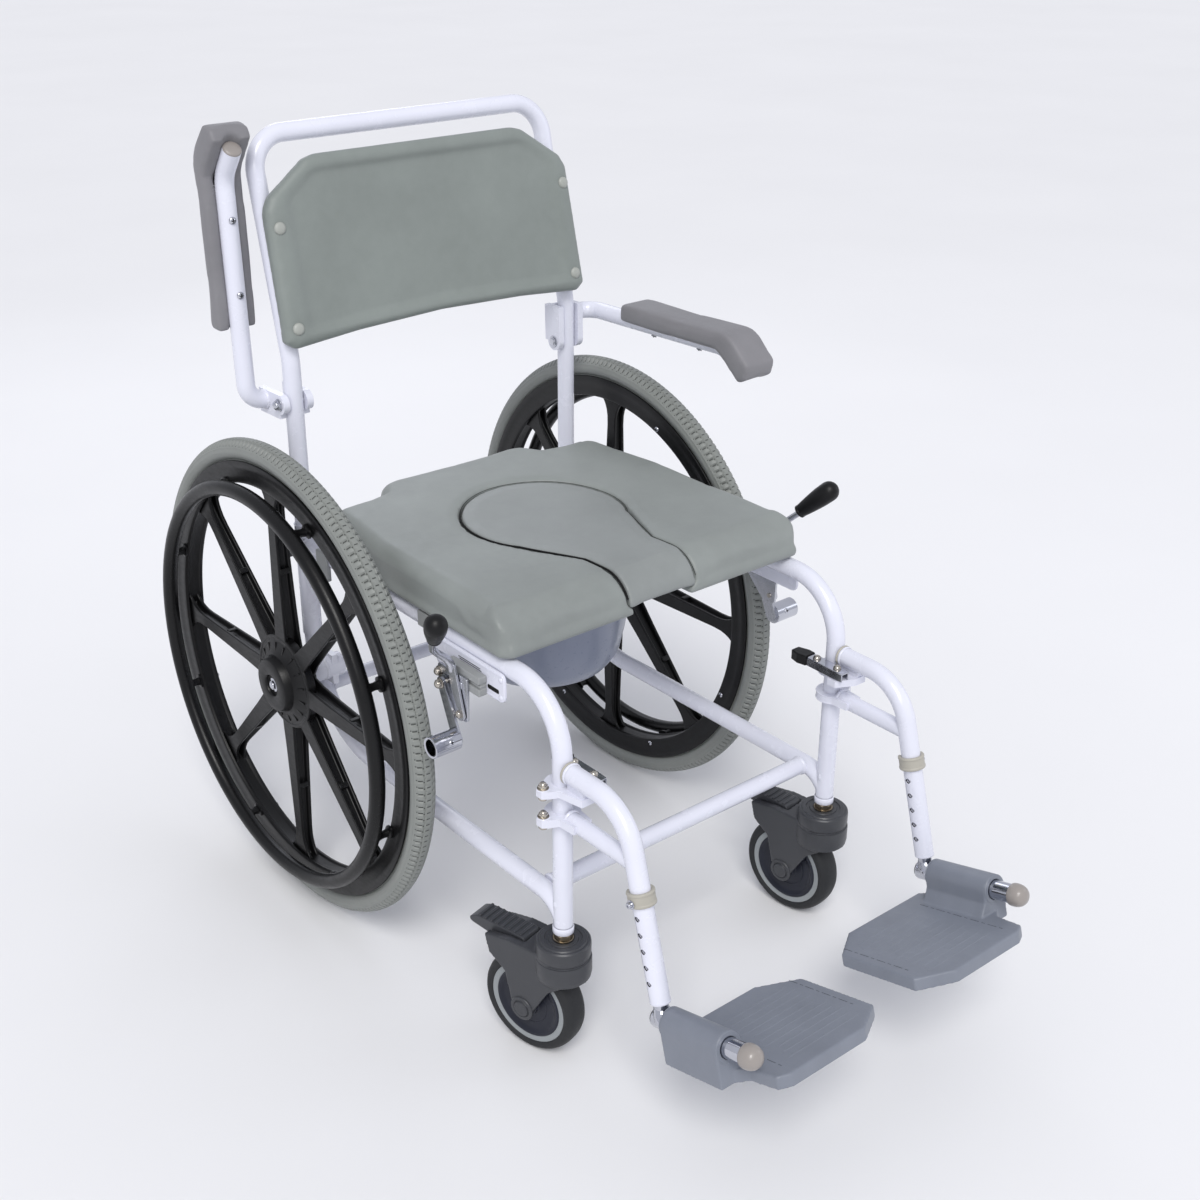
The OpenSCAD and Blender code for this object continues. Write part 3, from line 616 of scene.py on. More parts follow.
CLOTH_STEPS = 20
lo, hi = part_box("seat_pad")
SHW = (hi.x - lo.x) / 2 * MM
SY0, SY1 = (lo.y - AY) * MM, (hi.y - AY) * MM
SZ0, SZ1 = lo.z * MM, hi.z * MM
ilo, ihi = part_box("seat_insert")
HOLE_R = (ihi.x - ilo.x) / 2 * MM
HOLE_Y = (ihi.y - AY) * MM - HOLE_R
NECK_HW, WAIST_HW, WAIST_Y0, WAIST_Y1 = 50, 62, -318, -288
FRONT_R = 44
half = [(0, SY0), (SHW - 12, SY0), (SHW, SY0 + 12), (SHW - 2, -150), (208, -34), (198, -20),
        (150, -14), (128, -8), (118, 6), (108, 18), (90, SY1), (0, SY1)]
SEAT_OUT = half + [(-x, y) for x, y in reversed(half[1:-1])]
# The keyhole seam: a round part, a waist and the neck to the front edge.
KEY = [(NECK_HW, SY0 - 20), (NECK_HW, WAIST_Y0), (WAIST_HW, WAIST_Y1)]
KEY += arc(0, HOLE_Y, HOLE_R, [math.radians(t) for t in range(-36, 217, 6)])
KEY += [(-WAIST_HW, WAIST_Y1), (-NECK_HW, WAIST_Y0), (-NECK_HW, SY0 - 20)]


def seat_height(x, y):
    """How far the top of the seat sinks below its CAD plane, in mm."""
    dish = 10.5 * math.exp(-((x / 128) ** 2 + ((y + 190) / 118) ** 2) ** 1.3)
    front = 2.4 * math.exp(-((x / 60) ** 2 + ((y + 345) / 60) ** 2))
    thigh = 1.6 * math.exp(-(((abs(x) - 140) / 60) ** 2 + ((y + 250) / 130) ** 2))
    return dish + front + thigh + 0.9 * wobble(x / 90, y / 90, 3.1) + 0.6


def seat_pre(o):
    """Rounds the top edge all round except at the front, where only the corners are, and the lower edge."""
    top_r, low_r = 17.0, 7.0
    for v in o.data.vertices:
        x, y, z = mm(v.co)
        d = outline_dist(SEAT_OUT, x, y)
        k = 1.0 if y > SY0 + 40 else smoothstep(SHW - top_r, SHW, abs(x))
        top = SZ1 - 0.4 - k * edge_drop(d, top_r)
        bottom = SZ0 + 0.4 + edge_drop(d, low_r)
        v.co.z = (min(z, top) if z > (SZ0 + SZ1) / 2 else max(z, bottom)) / MM


def seat_cap(co):
    x, y, z = mm(co)
    if z < SZ0 + 12:
        return 0.4
    return 0.3 + 4.2 * smoothstep(4, 26, outline_dist(KEY, x, y))


def rolled(x, y, near, far, depth):
    """How far the seam's edge is rolled over into the groove: wider along the near side."""
    d = outline_dist(KEY, x, y)
    roll = near if x < 0 else far
    return depth * (1 - d / roll) ** 2 if d < roll and y > SY0 + 8 else 0.0


def seat_post(o):
    for v in o.data.vertices:
        x, y, z = mm(v.co)
        k = smoothstep(SZ0 + 20, SZ1 - 4, z)
        z = min(z, SZ1 + 1.0) - k * (seat_height(x, y) + rolled(x, y, 4.5, 3.2, 1.9))
        v.co = V(x, y, z)


def insert_pre(o):
    """Draws the insert's edge in from the seam: more at the near side, where the gap shows."""
    reach = 9
    for v in o.data.vertices:
        x, y, _ = mm(v.co)
        d = outline_dist(KEY, x, y)
        if d < reach and y > SY0 + 3:
            g = (1.5 if x < 0 else 0.7) * (0.45 if y > HOLE_Y + 40 else 1)
            c = Vector((math.copysign(1, x), 0)) if y < -320 else Vector((x, y - HOLE_Y)).normalized()
            k = g * (1 - d / reach) / MM
            v.co.x -= c.x * k
            v.co.y -= c.y * k


def insert_cap(co):
    x, y, _ = mm(co)
    return 0.2 + 3.0 * smoothstep(5, 30, outline_dist(KEY, x, y))


def insert_post(o):
    reach = 7
    for v in o.data.vertices:
        x, y, z = mm(v.co)
        k = smoothstep(SZ0 + 20, SZ1 - 5, z)
        z = min(z, SZ1 + 0.4) - k * (seat_height(x, y) - 0.6)
        # A slight proud edge where the neck meets the front roll on the far side.
        z += k * 1.4 * math.exp(-(((x - 40) / 22) ** 2 + ((y + 330) / 50) ** 2))
        z -= k * rolled(x, y, 5.0, 3.5, 1.7)
        d = outline_dist(KEY, x, y)
        if d < reach and x < 0:
            # The gap is wider on this side.
            g = k * 1.1 * (1 - d / reach)
            w = Vector((-x, -178 - y)).normalized() if y > -255 else Vector((1, 0))
            x, y = x + w.x * g, y + w.y * g
        v.co = V(x, y, z)


soft_from("seat_cushion", "seat_pad", 4.0, 5, "cushion", seat_pre, seat_cap, seat_post)
soft_from("seat_insert_pad", "seat_insert", 3.2, 3, "insert", insert_pre, insert_cap, insert_post)


def seam():
    """A painted shadow: a dark line down in the seam, broad along the near side, thin along the far one."""
    path, width = [], []
    for a, b in zip(map(Vector, KEY), map(Vector, KEY[1:])):
        n = max(1, round((b - a).length / 5))
        for x, y in (a.lerp(b, j / n) for j in range(n)):
            if y < SY0 + 3:
                continue
            path.append((x, y, SZ1 - 1.35 - seat_height(x, y) - edge_drop(y - SY0, FRONT_R)))
            width.append(0.3 + 0.9 * smoothstep(20, -30, x) * smoothstep(-95, -140, y))
    p = Piece()
    p.tube(path, width, 8)
    p.done("seat_seam", "dark", "seat_insert", 80)


seam()

# The back panel in its own leaning frame: u across, v up the lean, w out of the front face.
LEAN = math.radians(LEAN_DEG)
PANEL_FOOT = V(0, POST_Y, 695)
EV = Vector((0, math.sin(LEAN), math.cos(LEAN)))
EW = Vector((0, -math.cos(LEAN), math.sin(LEAN)))
PHW, PV0, PV1, PW0, PW1 = 220.0, 12.0, 225.0, 11.2, 31.2
CAP_U, CAP_V = 204, (35, 149)
ph = [(0, 11), (120, 7), (208, 0), (220, 9), (216, 157), (208, 172), (155, 209), (140, 213), (0, 213)]
PANEL_OUT = [(u, v + PV0) for u, v in ph + [(-u, v) for u, v in reversed(ph[1:-1])]]


def to_panel(co):
    q = co - PANEL_FOOT
    return q.x * MM, q.dot(EV) * MM, q.dot(EW) * MM


def from_panel(u, v, w):
    return PANEL_FOOT + Vector((u / MM, 0, 0)) + EV * (v / MM) + EW * (w / MM)


def panel_pre(o):
    for p in o.data.vertices:
        u, v, w = to_panel(p.co)
        d = outline_dist(PANEL_OUT, u, v)
        front, back = PW1 - 0.6 - edge_drop(d, 9.0), PW0 + 0.3 + edge_drop(d, 5.0)
        p.co = from_panel(u, v, min(w, front) if w > (PW0 + PW1) / 2 else max(w, back))


def panel_cap(co):
    u, v, w = to_panel(co)
    return 0.2 if w < PW0 + 6 else 0.3 + 3.2 * smoothstep(3, 22, outline_dist(PANEL_OUT, u, v))


def panel_post(o):
    for p in o.data.vertices:
        u, v, w = to_panel(p.co)
        front = smoothstep(PW0 + 8, PW1 - 3, w)
        inner = smoothstep(20, 38, PHW - 3 - abs(u)) * smoothstep(8, 24, PV1 - v)
        inner *= smoothstep(6, 22, outline_dist(PANEL_OUT, u, v))
        w = min(w, PW1 + 0.5)
        w -= front * (4.2 * inner * smoothstep(4, 16, v - PV0 - 6) + 0.5 * wobble(u / 80, v / 80, 9))
        w -= front * inner * smoothstep(4, 16, v - PV0 - 6) * 2.2 * math.cos(min(1.0, abs(u) / 190) * math.pi / 2)
        # Small seats round the four screw caps.
        for cu in (-CAP_U, CAP_U):
            for cv in CAP_V:
                w -= front * 1.1 * math.exp(-(math.hypot(u - cu, v - cv) / 8.5) ** 4)
        p.co = from_panel(u, v, w)


def arm_cap(_):
    return 1.2


def arm_post(o):
    for p in o.data.vertices:
        p.co.x += 0.0003 * noise.noise(p.co * 30)


soft_from("back_pad", "backrest_panel", 3.6, 4, "back", panel_pre, panel_cap, panel_post)
for side in SIDES:
    soft_from("arm_rest_" + side, "arm_pad_" + side, 2.6, 7, "arm", None, arm_cap, arm_post)

# ---------------------------------------------------------------- drive wheels


def build_tyre(side):
    """A solid tyre: smooth side walls, and a tread of staggered blocks cut apart by grooves."""
    blocks, per = 216, 6
    n_len = blocks * per
    wall = [2.51, 2.25, 2, 1.8, 1.66, 1.58, 1.54, 1.47, 1.36, 1.26, 1.22, 1.15]
    ts = wall + [1.08 - 0.08 * i for i in range(28)] + [-t for t in reversed(wall)]
    bead_r, middle_r, high, wide = 278.1, 290, 15, 14.6
    p = Piece(At(side, (WHEEL_X, 0, AXLE_Z)))
    c = p.at.p(0, 0, 0)
    rings, deep = [], []
    for i in range(n_len):
        a = 2 * math.pi * i / n_len
        ca, sa = math.cos(a), math.sin(a)
        q = (i % per) / per
        tri = abs(q * 2 - 1)
        pts, cuts = [], []
        for t in ts:
            b = abs(t)
            cut = 0.0
            if b < 1.1:
                ph = (q + (0.5 if t > 0 else 0) + 0.35 * b) % 1.0
                if b > 0.40 and ph < 0.34:
                    cut = 1.45 * smoothstep(1.12, 0.9, b) + 0.35
                if abs(b - 0.33 - 0.05 * tri) < 0.055:
                    cut = 1.3
                if b < 0.2 and (q + 0.25) % 1.0 < 0.30:
                    cut = 0.8
            elif 1.5 < b < 1.6 or 1.2 < b < 1.24:
                cut = -0.35 if b < 1.5 else -0.2
            rr = middle_r + high * math.cos(t) * (1.0 if b < 1.57 else 0.80) - cut * math.cos(t)
            pts.append((wide * math.sin(t) - cut * math.sin(t) * (0.6 if cut > 0 else 1), max(rr, bead_r + 0.1)))
            cuts.append(cut)
        pts += [(-9, bead_r), (9, bead_r)]
        rings.append(p.ring_of(c + Vector((x, r * ca, r * sa)) / MM for x, r in pts))
        deep.append(cuts + [0, 0])
    m = len(deep[0])
    for i in range(n_len):
        n = (i + 1) % n_len
        for j in range(m):
            k = (j + 1) % m
            f = p.bm.faces.new((rings[i][j], rings[n][j], rings[n][k], rings[i][k]))
            # Faces down in the cuts take the second, darker material: painted shade in the grooves.
            f.material_index = int(min(deep[i][j], deep[n][j], deep[n][k], deep[i][k]) > 0.3)
    p.done("tread_", "tyre groove", "wheel_" + side, 30, node="tyre_" + side)


def spoke_section(r):
    """An I lying on its side: two flanges and a thin web, spread into hub and rim by fillets."""
    w = lerp_table([(30, 12.2), (60, 11.4), (215, 8.2), (300, 8)], r)
    if r > 218:
        w += 22.0 * (1 - math.sqrt(max(0, 1 - ((r - 218) / 36) ** 2)))
    if r < 70:
        w += 5.5 * (1 - smoothstep(34, 70, r))
    x0 = lerp_table([(30, -13.6), (60, -13), (254, -7.2)], r)
    x1 = lerp_table([(30, 10), (60, 9.6), (254, 7.2)], r)
    flange, fillet, web, back = 3.6, 2.2, max(1.8, w * 0.42), w * 0.94
    right = [(w, x1), (w, x1 - flange), (web, x1 - flange - fillet), (web, x0 + flange + fillet),
             (back, x0 + flange), (back, x0)]
    return w, right + [(-q, x) for q, x in reversed(right)]


def around(at, a):
    """Places (r, q, x): out along the angle a, across it, and along the wheel's axle."""
    ca, sa = math.cos(a), math.sin(a)
    return lambda r, q, x: at.p(x, r * ca - q * sa, r * sa + q * ca)


def build_wheel(side):
    body = "wheel_" + side
    W = At(side, (WHEEL_X, 0, AXLE_Z))
    # Rim, with a lip on each side, a step and a shallow channel inside.
    p = Piece(W)
    lip = [(251.5, 9), (252.5, 12.4), (256, 13.2), (262, 12.2), (270, 13.4), (275, 14), (279.5, 13),
           (280, 11), (277.6, 9.5)]
    p.ring((0, 0, 0), OUT, [(r, -h) for r, h in lip] + lip[::-1] + [(253.5, 6.5), (253.5, -6.5)], 240)
    p.done("rim_", "wheel", body, 40, 0.5)
    p = Piece(W)
    for i in range(8):
        put = around(W, i * math.pi / 4)
        rs = (34, 60, 100, 140, 180, 215, 228, 236, 242, 246.5, 250, 252.6, 254)
        p.skin([p.ring_of(put(r, q, x) for q, x in spoke_section(r)[1]) for r in rs])
        # A small lug half way along each spoke's side.
        w = spoke_section(150)[0] - 1.5
        for q in (-1, 1):
            p.prism([(146, 0.5), (154, 0.5), (153, 2.4), (147, 2.4)], -6, 6,
                    lambda r, s, x: put(r, q * (w + s), x))
    p.done("spokes_", "wheel", body, 38, 0.9)
    # Hub: barrel, round flange with a raised edge, and the recess with its bolt.
    p = Piece(W)
    p.lathe((0, 0, 0), OUT, [
        (6.2, -22), (26, -22), (28.6, -21), (29.4, -18), (30, -9), (33, -6.2), (54, -4.6), (58.5, -3),
        (60.2, 2), (61.4, 8), (60.6, 9.6), (57.5, 10.2), (55.6, 9.2), (42, 13.4), (36.5, 16.6), (34.6, 24.4),
        (33.2, 26.6), (30, 27.9), (16.5, 28), (14.2, 27.2), (13.2, 25.6), (13, 23.4), (6.2, 23.4)], 96)
    for i in range(16):
        put = around(W, (i + 0.5) * math.pi / 8)
        p.prism([(32, -1.1), (52, -1.1), (52, 1.1), (32, 1.1)], 9.5, 15.2,
                lambda r, q, x: put(r, q, x - 3.2 * smoothstep(32, 52, r)))
    p.done("hub_", "wheel", body, 34, 0.35, node=body)
    # Axle end in the recess, and the nut on the frame's inner side.
    ends.at = W
    ends.washer((23.5, 0, 0), OUT, 9, 0.9)
    ends.dome_nut((24.2, 0, 0), OUT, 11, 4.2)
    ends.at = At(side, (FRAME_X, 0, AXLE_Z))
    ends.washer((-14.2, 0, 0), (-1, 0, 0), 10, 1.2)
    ends.hex_nut((-15.3, 0, 0), (-1, 0, 0), 16, 6.5)
    ends.tube([(-18, 0, 0), (WHEEL_X - FRAME_X + 24, 0, 0)], 5.95, 32)


def build_handrim(side):
    body = "wheel_" + side
    p = Piece(At(side, (HANDRIM_X, 0, AXLE_Z)))
    p.ring((0, 0, 0), OUT, arc(251.5, 0, 9.4, [2 * math.pi * k / 28 for k in range(28)]), 256)
    # Eight posts, each a waisted lug with a foot on the rim.
    for i in range(8):
        put = around(p.at, (i + 0.5) * math.pi / 4)
        rings = []
        for x, hw, hr in ((-21.8, 9.5, 6.6), (-19.6, 9.2, 6.4), (-18.4, 5.6, 4.6), (-14, 4.6, 4),
                          (-9, 5, 4.2), (-5, 7, 5.2), (-1, 8, 5.6)):
            pts = []
            for k in range(16):
                cq, sq = math.cos(2 * math.pi * k / 16), math.sin(2 * math.pi * k / 16)
                pts.append(put(254.5 + hr * math.copysign(abs(sq) ** 0.75, sq),
                               hw * math.copysign(abs(cq) ** 0.75, cq), x))
            rings.append(p.ring_of(pts))
        p.skin(rings)
    p.done("handrim_tube_", "rim", body, 40, node="handrim_" + side)
    # Screw heads behind the rim, one for each post.
    p = Piece(At(side, (249.2, 0, AXLE_Z)))
    for i in range(8):
        a = (i + 0.5) * math.pi / 4
        p.screw((0, 258.5 * math.cos(a), 258.5 * math.sin(a)), (-1, 0, 0), 3.6, 2.4)
    p.done("post_screws_", "chrome dark", body, 40)


ends = Piece()
for side in SIDES:
    build_wheel(side)
    build_tyre(side)
ends.done("axle_ends", "chrome", "frame", node="axles")
for side in SIDES:
    build_handrim(side)

# ---------------------------------------------------------------- casters


def build_caster(side, swivel):
    A = At(side, (FRAME_X, STEM_Y, 0), "Z", swivel)
    fork, wbody, pbody = "caster_" + side, "caster_wheel_" + side, "caster_pedal_" + side
    moulded("fork_" + side, "caster_fork_" + side, 1.25, 4, "caster")
    # Grooved cap over the swivel bearing.
    p = Piece(A)
    p.lathe((0, 0, 0), UP, [
        (7, 161.9), (12, 161.9), (12.6, 163.2), (16.5, 163.4), (17.2, 162.2), (20.5, 162.3), (21.2, 163.6),
        (25.6, 163.4), (26.6, 162.2), (29.2, 162), (30.6, 160.6), (31, 158), (31, 147), (30.4, 145),
        (28.6, 144), (28.6, 142), (31.4, 141), (31.8, 139), (31.8, 122), (31, 118.4), (28, 116.2)], 96)
    p.done("fork_cap_", "caster", fork, 30)
    # Fork arms end in round bosses with a shallow dish and the axle's head.
    p, caps = Piece(A), Piece(A)
    for q in (-1, 1):
        p.lathe((q * 24.2, *CASTER_HUB), (q, 0, 0), [
            (15, 0), (15, 1.4), (14.2, 2.4), (11.4, 2.6), (10.4, 1.9), (10.2, 1.4), (6, 1.4)], 48)
        caps.lathe((q * 25, *CASTER_HUB), (q, 0, 0), [
            (9.4, 0), (9.2, 2.2), (8.4, 2.9), (6.6, 3), (6.2, 2.2), (0, 2.1)], 40)
    p.done("fork_bosses_", "caster", fork, 30, 0.4)
    caps.done("fork_axle_caps_", "caster", fork)
    # Wheel: dark hub disc with ribs, a light ring, then the tread.
    p = Piece(A)
    p.lathe((0, *CASTER_HUB), OUT, mirrored([
        (5.1, 16.6), (12.6, 16.6), (13.6, 15.8), (14, 13.8), (15.4, 12.8), (33.5, 12), (36.5, 12.6),
        (38.6, 14.2), (40, 14.9), (42, 14.9), (43, 14.2), (43.2, 13)]), 96)
    for q in (-1, 1):
        p.ring((12.4 * q, *CASTER_HUB), OUT, [(24.2, -0.6), (25.2, 0.5), (26.2, -0.6)], 80)
    p.done("caster_disc_", "caster_hub", wbody, 32, 0.3)
    p = Piece(A)
    p.ring((0, *CASTER_HUB), OUT, mirrored([(43, -13.6), (49.9, -14.4), (50.4, -13.4)]))
    p.done("caster_ring_", "ring", wbody, 32, 0.5, node=wbody)
    p = Piece(A)
    tread = [(50, -14.2), (50.6, -15), (53.5, -15.9), (56.2, -15.9), (58.6, -14.4), (60.6, -11.6),
             (61.8, -8.2), (62.4, -4.2)]
    p.ring((0, *CASTER_HUB), OUT, tread + [(62.5, 0)] + mirrored(tread)[len(tread):], 144)
    p.done("caster_tyre_", "tread", wbody, 60, node="caster_tread_" + side)
    # Ribbed brake pedal.
    p = Piece(A)
    p.prism([(44, 138.4), (43.6, 146), (45.4, 149.2), (49, 150.2), (104, 152.4), (112, 151.8),
             (119.6, 148.6), (121.8, 146.4), (121.2, 143), (117.6, 141), (96, 136.6), (74, 133), (50, 133.2)],
            -13.8, 13.8)
    rib = ((0, -1), (0.4, 1.7), (1.2, 2.1), (3.4, 2.1), (4.6, 0.4), (4.9, -1))
    for i in range(8):
        y0, z0 = 49 + i * 8.2, 150.0 + i * 8.2 * 0.042
        p.prism([(y0 + u, z0 + v) for u, v in rib], -12.8, 12.8)
    pin = Piece(A)
    pin.tube([(-18.8, 52, 142), (18.8, 52, 142)], 2.95, 24)
    p.done("pedal_", "caster", pbody, 32, 0.7, node=pbody)
    pin.done("pedal_pin_", "bronze", pbody, 40)


CASTER_HUB = (40, 62.5)
for side, swivel in (("right", -15), ("left", 8)):
    build_caster(side, swivel)
p = Piece()
for side in SIDES:
    p.at = At(side, (FRAME_X, STEM_Y, 0))
    p.lathe((0, 0, 0), UP, [(0, 120), (5.9, 120), (5.9, 163), (10.6, 163), (11.6, 163.4), (11.6, 164.4),
                            (10.4, 164.8)], 40)
    p.hex_nut((0, 0, 164.6), UP, 19, 6.9)
    p.lathe((0, 0, 0), UP, [(9.6, 171.2), (9.9, 171.6), (9.9, 172), (0, 172)], 32)
p.done("stem_nuts", "bronze", "frame", 30, node="caster_stems")

# ---------------------------------------------------------------- painted tubes and their joints


def build_frame_details(side):
    p = Piece(At(side))
    for k, (o, axis, r, w) in enumerate((
            ((FRAME_X - 10.6, -436, 211), OUT, 10.8, 2.6), ((FRAME_X - 11, 17, 270), OUT, 9.6, 2.4),
            ((FRAME_X + 10.8, 0, AXLE_Z), OUT, 15.2, 2.4), ((FRAME_X, POST_Y - 11.6, 461.5), (0, 1, 0), 11.2, 2.8),
            ((FRAME_X, -470.4, 211), (0, 1, 0), 11, 2.6))):
        p.weld(o, axis, r, w, 72, 3 * k)
    p.done("frame_welds_", "enamel", "frame", 60)
    # Collar pressed in the front tube's lower end, and the rolled edge of the rear post's socket.
    p = Piece(At(side, (FRAME_X, 0, 0)))
    p.lathe((0, STEM_Y, 0), UP, [(9.9, 172.1), (11.4, 172.4), (12, 173.2), (12, 179.4), (11.6, 180.2),
                                 (11.1, 180.9)])
    p.ring((0, POST_Y, 487.2), UP, [(11.2, -0.6), (12.3, -0.8), (12.7, 0.1), (12.2, 0.9), (11.3, 0.8)], 48)
    p.done("collars_", "enamel", "frame", 40)
    # Brake rail: a plate with rounded corners, rivets and embossed lines.
    A = At(side, (FRAME_X, 0, 0))
    p = Piece(A)
    p.prism(rounded(rect(-392, -266, 425, 459), 9, 7), 11.1, RAIL_X)
    p.done("rail_plate_", "enamel", "frame", 35, 0.9, 3, "brake_rails" if side == "right" else None)
    p = Piece(A)
    for y in (-386, -272):
        for z in (452, 431):
            p.screw((RAIL_X, y, z), OUT, 3.2, 1.4, False)
    for z in (456.6, 427.4):
        p.prism(rounded(rect(-388, -270, z - 0.6, z + 0.6), 0.5, 2), 14.6, 15.6)
    p.done("rail_details_", "enamel", "frame")
    # Painted shade: near-black strips on the plate in its two slots and along two thin lines, standing in for the
    # shade inside them.
    p = Piece(A)
    for y0, y1 in ((-383, -363), (-299, -281)):
        p.prism(rounded(rect(y0, y1, 434, 439), 2.4), RAIL_X, 15.35)
    for y0, z in ((-352, 448.6), (-350, 450.8)):
        p.prism(rect(y0, y0 + 40, z - 0.4, z + 0.4), RAIL_X, 15.3)
    p.done("rail_slots_", "dark", "frame")


RAIL_X = 15.0
for n in ("side_frame_right", "side_frame_left", "cross_tubes", "back_bow", "arm_tube_right", "arm_tube_left",
          "hanger_right", "hanger_left"):
    paint(n, "enamel", 0.5)
for side in SIDES:
    build_frame_details(side)

# ---------------------------------------------------------------- brakes


def build_brake(side):
    first = side == "right"
    lever, roller = "brake_lever_" + side, "brake_roller_" + side
    # Clamp: a moulded block with a slot along its face and two grooves.
    p = Piece(At(side, (FRAME_X, 0, 0)))
    for z0, z1, x1 in ((424.4, 433.2, 25.9), (434.6, 437.4, 24.3), (438.8, 447.6, 25.9)):
        p.prism(rounded(rect(-361.8, -300.2, z0, z1), 2.2), 15.2, x1)
    p.prism(rounded(rect(-361, -301, 424.8, 447.4), 3), 15.2, 23)
    p.done("clamp_", "clamp", "frame", 32, 0.9, 3, "brake_clamps" if first else None)
    A = At(side, (FRAME_X + TUBE_R + 15.1, 0, 0))
    p = Piece(A)
    p.prism(rounded([(-343, 386), (-322, 386), (-296, 412), (-290, 420), (-290, 440), (-345, 440)], 4.5), 0, 3.2)
    p.prism(rounded(rect(-336, -302, 424, 433), 4), 3.1, 3.9)
    p.done("brake_plate_", "strip", "frame", 32, 0.5, node="brake_plates" if first else None)
    p = Piece(A)
    p.tube([(-1, *LEVER_PIN), (6, *LEVER_PIN)], 2.95, 24)
    p.dome_nut((6.9, *LEVER_PIN), OUT, 9, 4.2)
    p.tube([(3, *ROLLER_PIN), (10.6, *ROLLER_PIN)], 2.95, 24)
    p.washer((10.6, *ROLLER_PIN), OUT, 6.2, 1)
    p.dome_nut((11.5, *ROLLER_PIN), OUT, 10, 6.2)
    p.washer((3.2, -293, 430), OUT, 6, 1)
    p.dome_nut((4.1, -293, 430), OUT, 9, 5.6)
    p.done("brake_nuts_", "nickel", "frame")
    # Lever: flat strip, then a bent rod up to the grip.
    A = At(side, (FRAME_X + TUBE_R + 19, 0, 0))
    p = Piece(A)
    p.prism(arc(*LEVER_PIN, 8, [math.pi * (1.02 + 0.96 * i / 12) for i in range(13)])
            + [(-313.5, 447), (-315, 450.4), (-318, 452.4), (-323, 453.2), (-326.4, 451.4)], 0, 2.9)
    p.tube([(1.4, -319.6, 441), (3, -319.6, 452), (9, -319, 460), (18, -318.4, 468), (24, -319.4, 474.6),
            (28, -324.6, 483), (33, -336, 494), (35, -340, 498)], [3, 4.6, 4.5, 4.2, 4.1, 4, 4, 4], 28)
    p.done("lever_", "strip", lever, 40, 0.35, node=lever)
    # Bulb grip with a collar and a faint parting line.
    foot, tip, r = Vector((33, -337, 496)), Vector((52, -370, 531)), 12.6
    L = (tip - foot).length
    p = Piece(A)
    p.lathe(foot, (tip - foot).normalized(), [
        (4.1, 3.9), (7.4, 3.9), (8.4, 4.6), (8.6, 6.6), (8.1, 7.4), (8.5, 8.8), (9.3, 14), (10.4, 22), (11.6, 32),
        (12.3, 40), (r, L)] + arc(0, L, r, (0.2, 0.45, 0.7, 0.95, 1.2, 1.4)) + [(0, L + r)],
        wave=lambda t, r: 0.12 if abs(math.sin(t)) < 0.07 and r > 8 else 0)
    p.done("lever_grip_", "grip", lever, 45, node="brake_knob_" + side)
    # Hollow roller on its arm.
    x = FRAME_X + TUBE_R + 22.5
    A = At(side, (x, 0, 0))
    p = Piece(A)
    turn = [math.pi * i / 10 for i in range(11)]
    p.prism([(-297.7, 422)] + arc(*ROLLER_PIN, 7.3, turn)[1:] + [(-340, 366)]
            + [(-331 - 8.9 * math.cos(t), 365 - 8.9 * math.sin(t)) for t in turn] + [(-322, 364)], 0.05, 2.9)
    p.done("roller_arm_", "strip", roller, 32, 0.4, node=roller)
    p = Piece(A)
    e = ROLLER_X1 - x
    p.lathe((0, *ROLLER), OUT, [
        (0, 2.8), (11.9, 2.8), (12.5, 3.4), (12.5, e - 0.7), (11.9, e), (10.2, e), (9.4, e - 0.6), (9.2, 8),
        (4.2, 8), (4.2, 12), (0, 12)], 56)
    p.screw((e * 0.45, -342.6, 369.6), (0, -0.93, 0.37), 3.4, 1.6)
    p.done("roller_", "chrome dark", roller, 40)


LEVER_PIN, ROLLER_PIN, ROLLER, ROLLER_X1 = (-334, 395), (-305, 422), (-331, 365), 276
for side in SIDES:
    build_brake(side)

# ---------------------------------------------------------------- footrests


